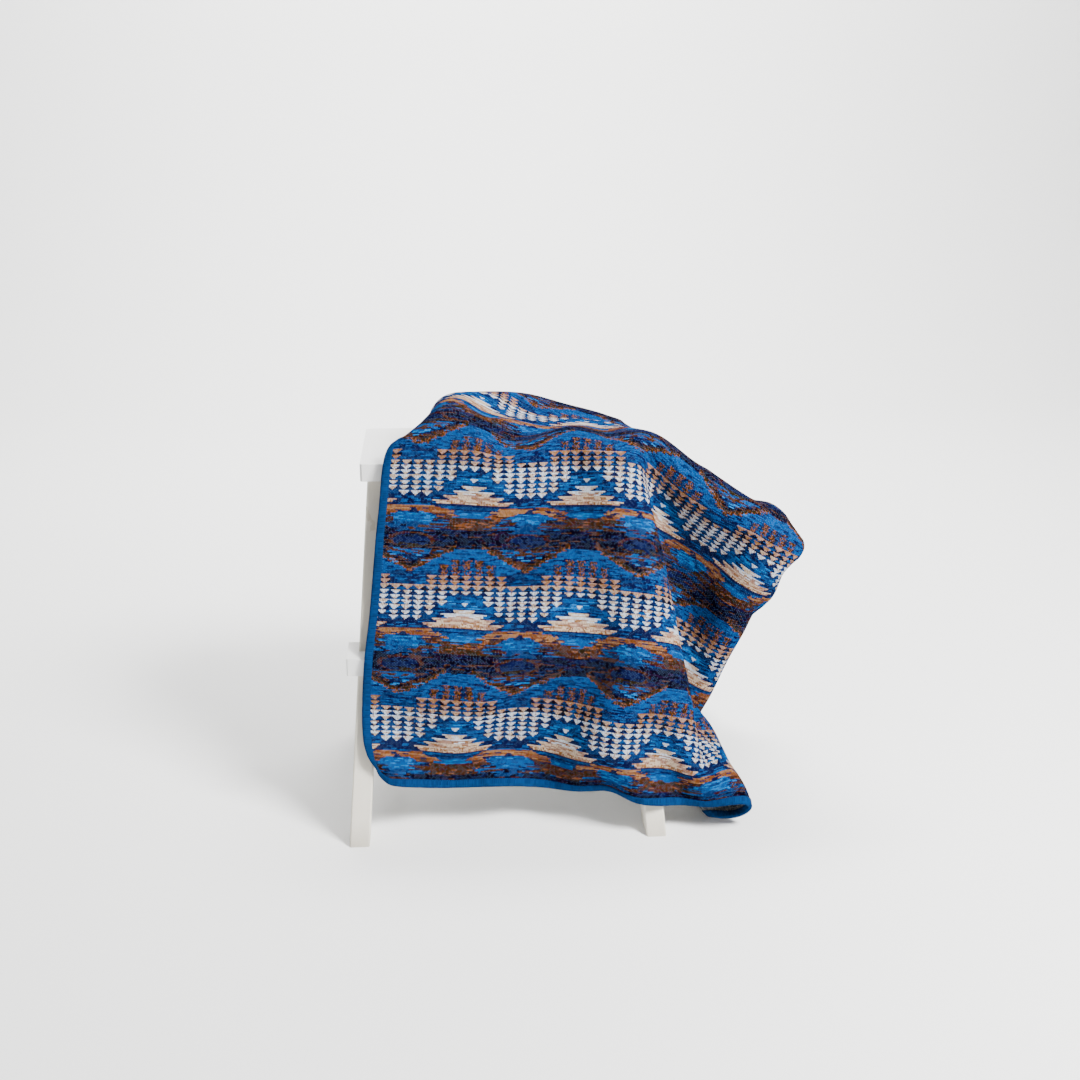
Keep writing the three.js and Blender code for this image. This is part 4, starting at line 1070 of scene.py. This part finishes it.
def leg_paint(settings):
    """Off-white paint on the legs and rails, with grain below it and a little dirt at the feet."""
    recipe = Recipe("leg_paint", Roughness=0.5, Specular_IOR_Level=0.4)
    x, y, z = recipe.coordinates()
    streak = recipe.cloud(x * 110, y * 110, z * 5, 1.0, 3.0)
    mottled = recipe.cloud(x, y, z, 14.0, 4.0)
    colour = recipe.mixed(tuple(settings.leg), ink("CFC7B6"), streak * 0.45)
    low = (1 - z / 0.035).most(0).least(1)
    colour = recipe.mixed(colour, ink("8F8677"), low * mottled)
    worn = (mottled > 0.69) * (streak > 0.5)
    colour = recipe.mixed(colour, ink("B7AB95"), worn * 0.5)
    return recipe.finish(colour, 0.42 + mottled * 0.2, streak, 0.00025, 0.6)


# Add-on


class ThrowSettings(bpy.types.PropertyGroup):
    """Sizes and colours of the throw."""

    binding_depth: bpy.props.FloatProperty(
        name="Binding depth",
        description="How far the binding reaches over the cloth, in mm",
        default=BINDING_DEEP,
    )
    rib: bpy.props.FloatProperty(name="Rib", description="Height of the binding's ribs, in mm", default=0.3)
    relief: bpy.props.FloatProperty(
        name="Weave relief", description="Height of the woven courses", default=0.00035, unit="LENGTH"
    )
    ground: bpy.props.FloatVectorProperty(
        name="Ground",
        description="Blue yarn of the ground",
        default=ink(YARNS["bright"]),
        size=4,
        subtype="COLOR",
    )
    earth: bpy.props.FloatVectorProperty(
        name="Earth",
        description="Brown yarn of the bands",
        default=ink(YARNS["brown"]),
        size=4,
        subtype="COLOR",
    )
    edge: bpy.props.FloatVectorProperty(
        name="Edge", description="Yarn of the binding", default=ink("032953"), size=4, subtype="COLOR"
    )


class StoolSettings(bpy.types.PropertyGroup):
    """Paint of the stool."""

    board: bpy.props.FloatVectorProperty(
        name="Boards",
        description="Paint of the slab and step",
        default=ink("E4E4E3"),
        size=4,
        subtype="COLOR",
    )
    leg: bpy.props.FloatVectorProperty(
        name="Legs", description="Paint of the legs and rails", default=ink("DAD5C9"), size=4, subtype="COLOR"
    )


class StageSettings(bpy.types.PropertyGroup):
    """Floor, light and lens."""

    floor: bpy.props.FloatVectorProperty(
        name="Floor", description="Colour of the floor", default=ink("F6F6F5"), size=4, subtype="COLOR"
    )
    key: bpy.props.FloatProperty(
        name="Key light",
        description="Power of the main light",
        default=280.0,
        subtype="POWER",
    )
    wall: bpy.props.FloatProperty(
        name="Wall light",
        description="Power of the light on the wall",
        default=340.0,
        subtype="POWER",
    )
    sky: bpy.props.FloatProperty(
        name="Sky",
        description="Strength of the even light from all round",
        default=0.3,
    )
    lens: bpy.props.FloatProperty(name="Lens", description="Focal length of the camera in mm", default=47.99)


class THROW_OT_lay(bpy.types.Operator):
    """Settles the throw over the stool and binds its edge"""

    bl_idname = "throw.lay"
    bl_label = "Lay the throw"

    def execute(self, context):
        bpy.ops.object.select_all(action="DESELECT")
        settings = context.scene.throw_settings
        net = padded_net(evened(settle()))
        cloth = throw_cloth(net, woven_face(settings), woven_reverse(settings))
        binding = throw_binding(net, binding_look(settings), settings.binding_depth, settings.rib)
        dressed = ((cloth, "blanket_cloth", "woven_cloth"), (binding, "blanket_binding", "edge_binding"))
        for piece, node, slot in dressed:
            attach(piece, "root")
            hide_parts(node)
        return {"FINISHED"}


class THROW_OT_paint_stool(bpy.types.Operator):
    """Paints the stool's boards, legs and rails"""

    bl_idname = "throw.paint_stool"
    bl_label = "Paint the stool"

    def execute(self, context):
        settings = context.scene.stool_settings
        boards, legs = slab_paint(settings), leg_paint(settings)
        for name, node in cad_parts.items():
            if name.startswith("blanket"):
                continue
            node.data.materials.clear()
            node.data.materials.append(boards if name in ("top_slab", "step_board") else legs)
        return {"FINISHED"}


class THROW_OT_set_stage(bpy.types.Operator):
    """Sets the floor, the lights and the camera"""

    bl_idname = "throw.set_stage"
    bl_label = "Set the stage"

    def execute(self, context):
        bpy.ops.object.select_all(action="DESELECT")
        settings = context.scene.stage_settings
        recipe = Recipe("pale_floor", Roughness=0.8)
        x, y, _ = recipe.coordinates()
        colour = recipe.mixed(tuple(settings.floor), ink("F4F4F3"), recipe.cloud(x, y, 0.0, 3.0) * 0.4)
        paper_sweep(recipe.finish(colour))
        light_the_stage(context, settings)
        set_camera(context, settings)
        return {"FINISHED"}


def paper_sweep(look):
    """The studio's floor, which curves up into a wall far behind the stool."""
    wide, near, far, bend, wall = 10.0, -4.0, 3.8, 1.2, 4.0
    bpy.ops.mesh.primitive_plane_add(size=1, location=(0, (near + far) / 2, 0))
    sweep = bpy.context.object
    sweep.name = "pale_floor"
    sweep.scale = (wide, far - near, 1)
    bpy.ops.object.transform_apply()
    mesh = sweep.data
    bpy.ops.object.mode_set(mode="EDIT")
    bpy.ops.mesh.select_mode(type="EDGE")
    bpy.ops.mesh.select_all(action="DESELECT")
    bpy.ops.object.mode_set(mode="OBJECT")
    for edge in mesh.edges:
        edge.select = all(mesh.vertices[n].co.y > far - 0.01 for n in edge.vertices)
    bpy.ops.object.mode_set(mode="EDIT")
    bpy.ops.mesh.extrude_region_move(TRANSFORM_OT_translate={"value": (0, 0, wall)})
    bpy.ops.object.mode_set(mode="OBJECT")
    bevel = sweep.modifiers.new("bend", "BEVEL")
    bevel.width = bend
    bevel.segments = 16
    bpy.ops.object.modifier_apply(modifier="bend")
    bpy.ops.object.shade_smooth()
    mesh.materials.append(look)
    return sweep


def light_the_stage(context, settings):
    """Soft sky, one large key light from the right, a weak fill and a light on the wall."""
    world = bpy.data.worlds.new("soft_room")
    world.use_nodes = True
    world.node_tree.nodes["Background"].inputs[0].default_value = (1, 1, 1, 1)
    world.node_tree.nodes["Background"].inputs[1].default_value = settings.sky
    context.scene.world = world
    for name, place, aim, size, power in (
        ("key", (1.5, -1.5, 2.3), (0, 0, 0.3), 0.9, settings.key),
        ("fill", (-2.2, -1.6, 1.6), (0, 0, 0.3), 2.2, settings.key * 0.05),
        ("wall light", (0, 1.5, 3.2), (0, 3.8, 0.6), 2.0, settings.wall),
    ):
        light = bpy.data.lights.new(name, "AREA")
        light.size = size
        light.energy = power
        lamp = bpy.data.objects.new(name, light)
        lamp.location = place
        lamp.rotation_euler = (Vector(aim) - Vector(place)).to_track_quat("-Z", "Y").to_euler()
        context.scene.collection.objects.link(lamp)


def set_camera(context, settings):
    """Camera as the photograph has it: place, turn, tilt and lens."""
    eye = bpy.data.cameras.new("camera")
    eye.lens = settings.lens
    eye.sensor_width = 36
    camera = bpy.data.objects.new("camera", eye)
    camera.location = to_row_frame(np.array([[-89.8, -1974.6, 982.0]]))[0]
    camera.rotation_euler = (math.radians(90 - 16.81), 0, math.radians(-4.23))
    context.scene.collection.objects.link(camera)
    context.scene.camera = camera


class THROW_PT_panel(bpy.types.Panel):
    """Sidebar panel of the throw"""

    bl_label = "Draped throw"
    bl_space_type = "VIEW_3D"
    bl_region_type = "UI"
    bl_category = "Throw"

    def draw(self, context):
        scene = context.scene
        for settings, names in (
            (scene.throw_settings, ("binding_depth", "rib", "relief", "ground", "earth", "edge")),
            (scene.stool_settings, ("board", "leg")),
            (scene.stage_settings, ("floor", "key", "wall", "sky", "lens")),
        ):
            for name in names:
                self.layout.prop(settings, name)
        for operator in ("throw.lay", "throw.paint_stool", "throw.set_stage"):
            self.layout.operator(operator)


CLASSES = (
    ThrowSettings,
    StoolSettings,
    StageSettings,
    THROW_OT_lay,
    THROW_OT_paint_stool,
    THROW_OT_set_stage,
    THROW_PT_panel,
)


def register():
    for cls in CLASSES:
        bpy.utils.register_class(cls)
    bpy.types.Scene.throw_settings = bpy.props.PointerProperty(type=ThrowSettings)
    bpy.types.Scene.stool_settings = bpy.props.PointerProperty(type=StoolSettings)
    bpy.types.Scene.stage_settings = bpy.props.PointerProperty(type=StageSettings)


def unregister():
    del bpy.types.Scene.throw_settings
    del bpy.types.Scene.stool_settings
    del bpy.types.Scene.stage_settings
    for cls in reversed(CLASSES):
        bpy.utils.unregister_class(cls)


def main():
    register()
    bpy.ops.throw.lay()
    bpy.ops.throw.paint_stool()
    bpy.ops.throw.set_stage()


if __name__ == "__main__":
    main()
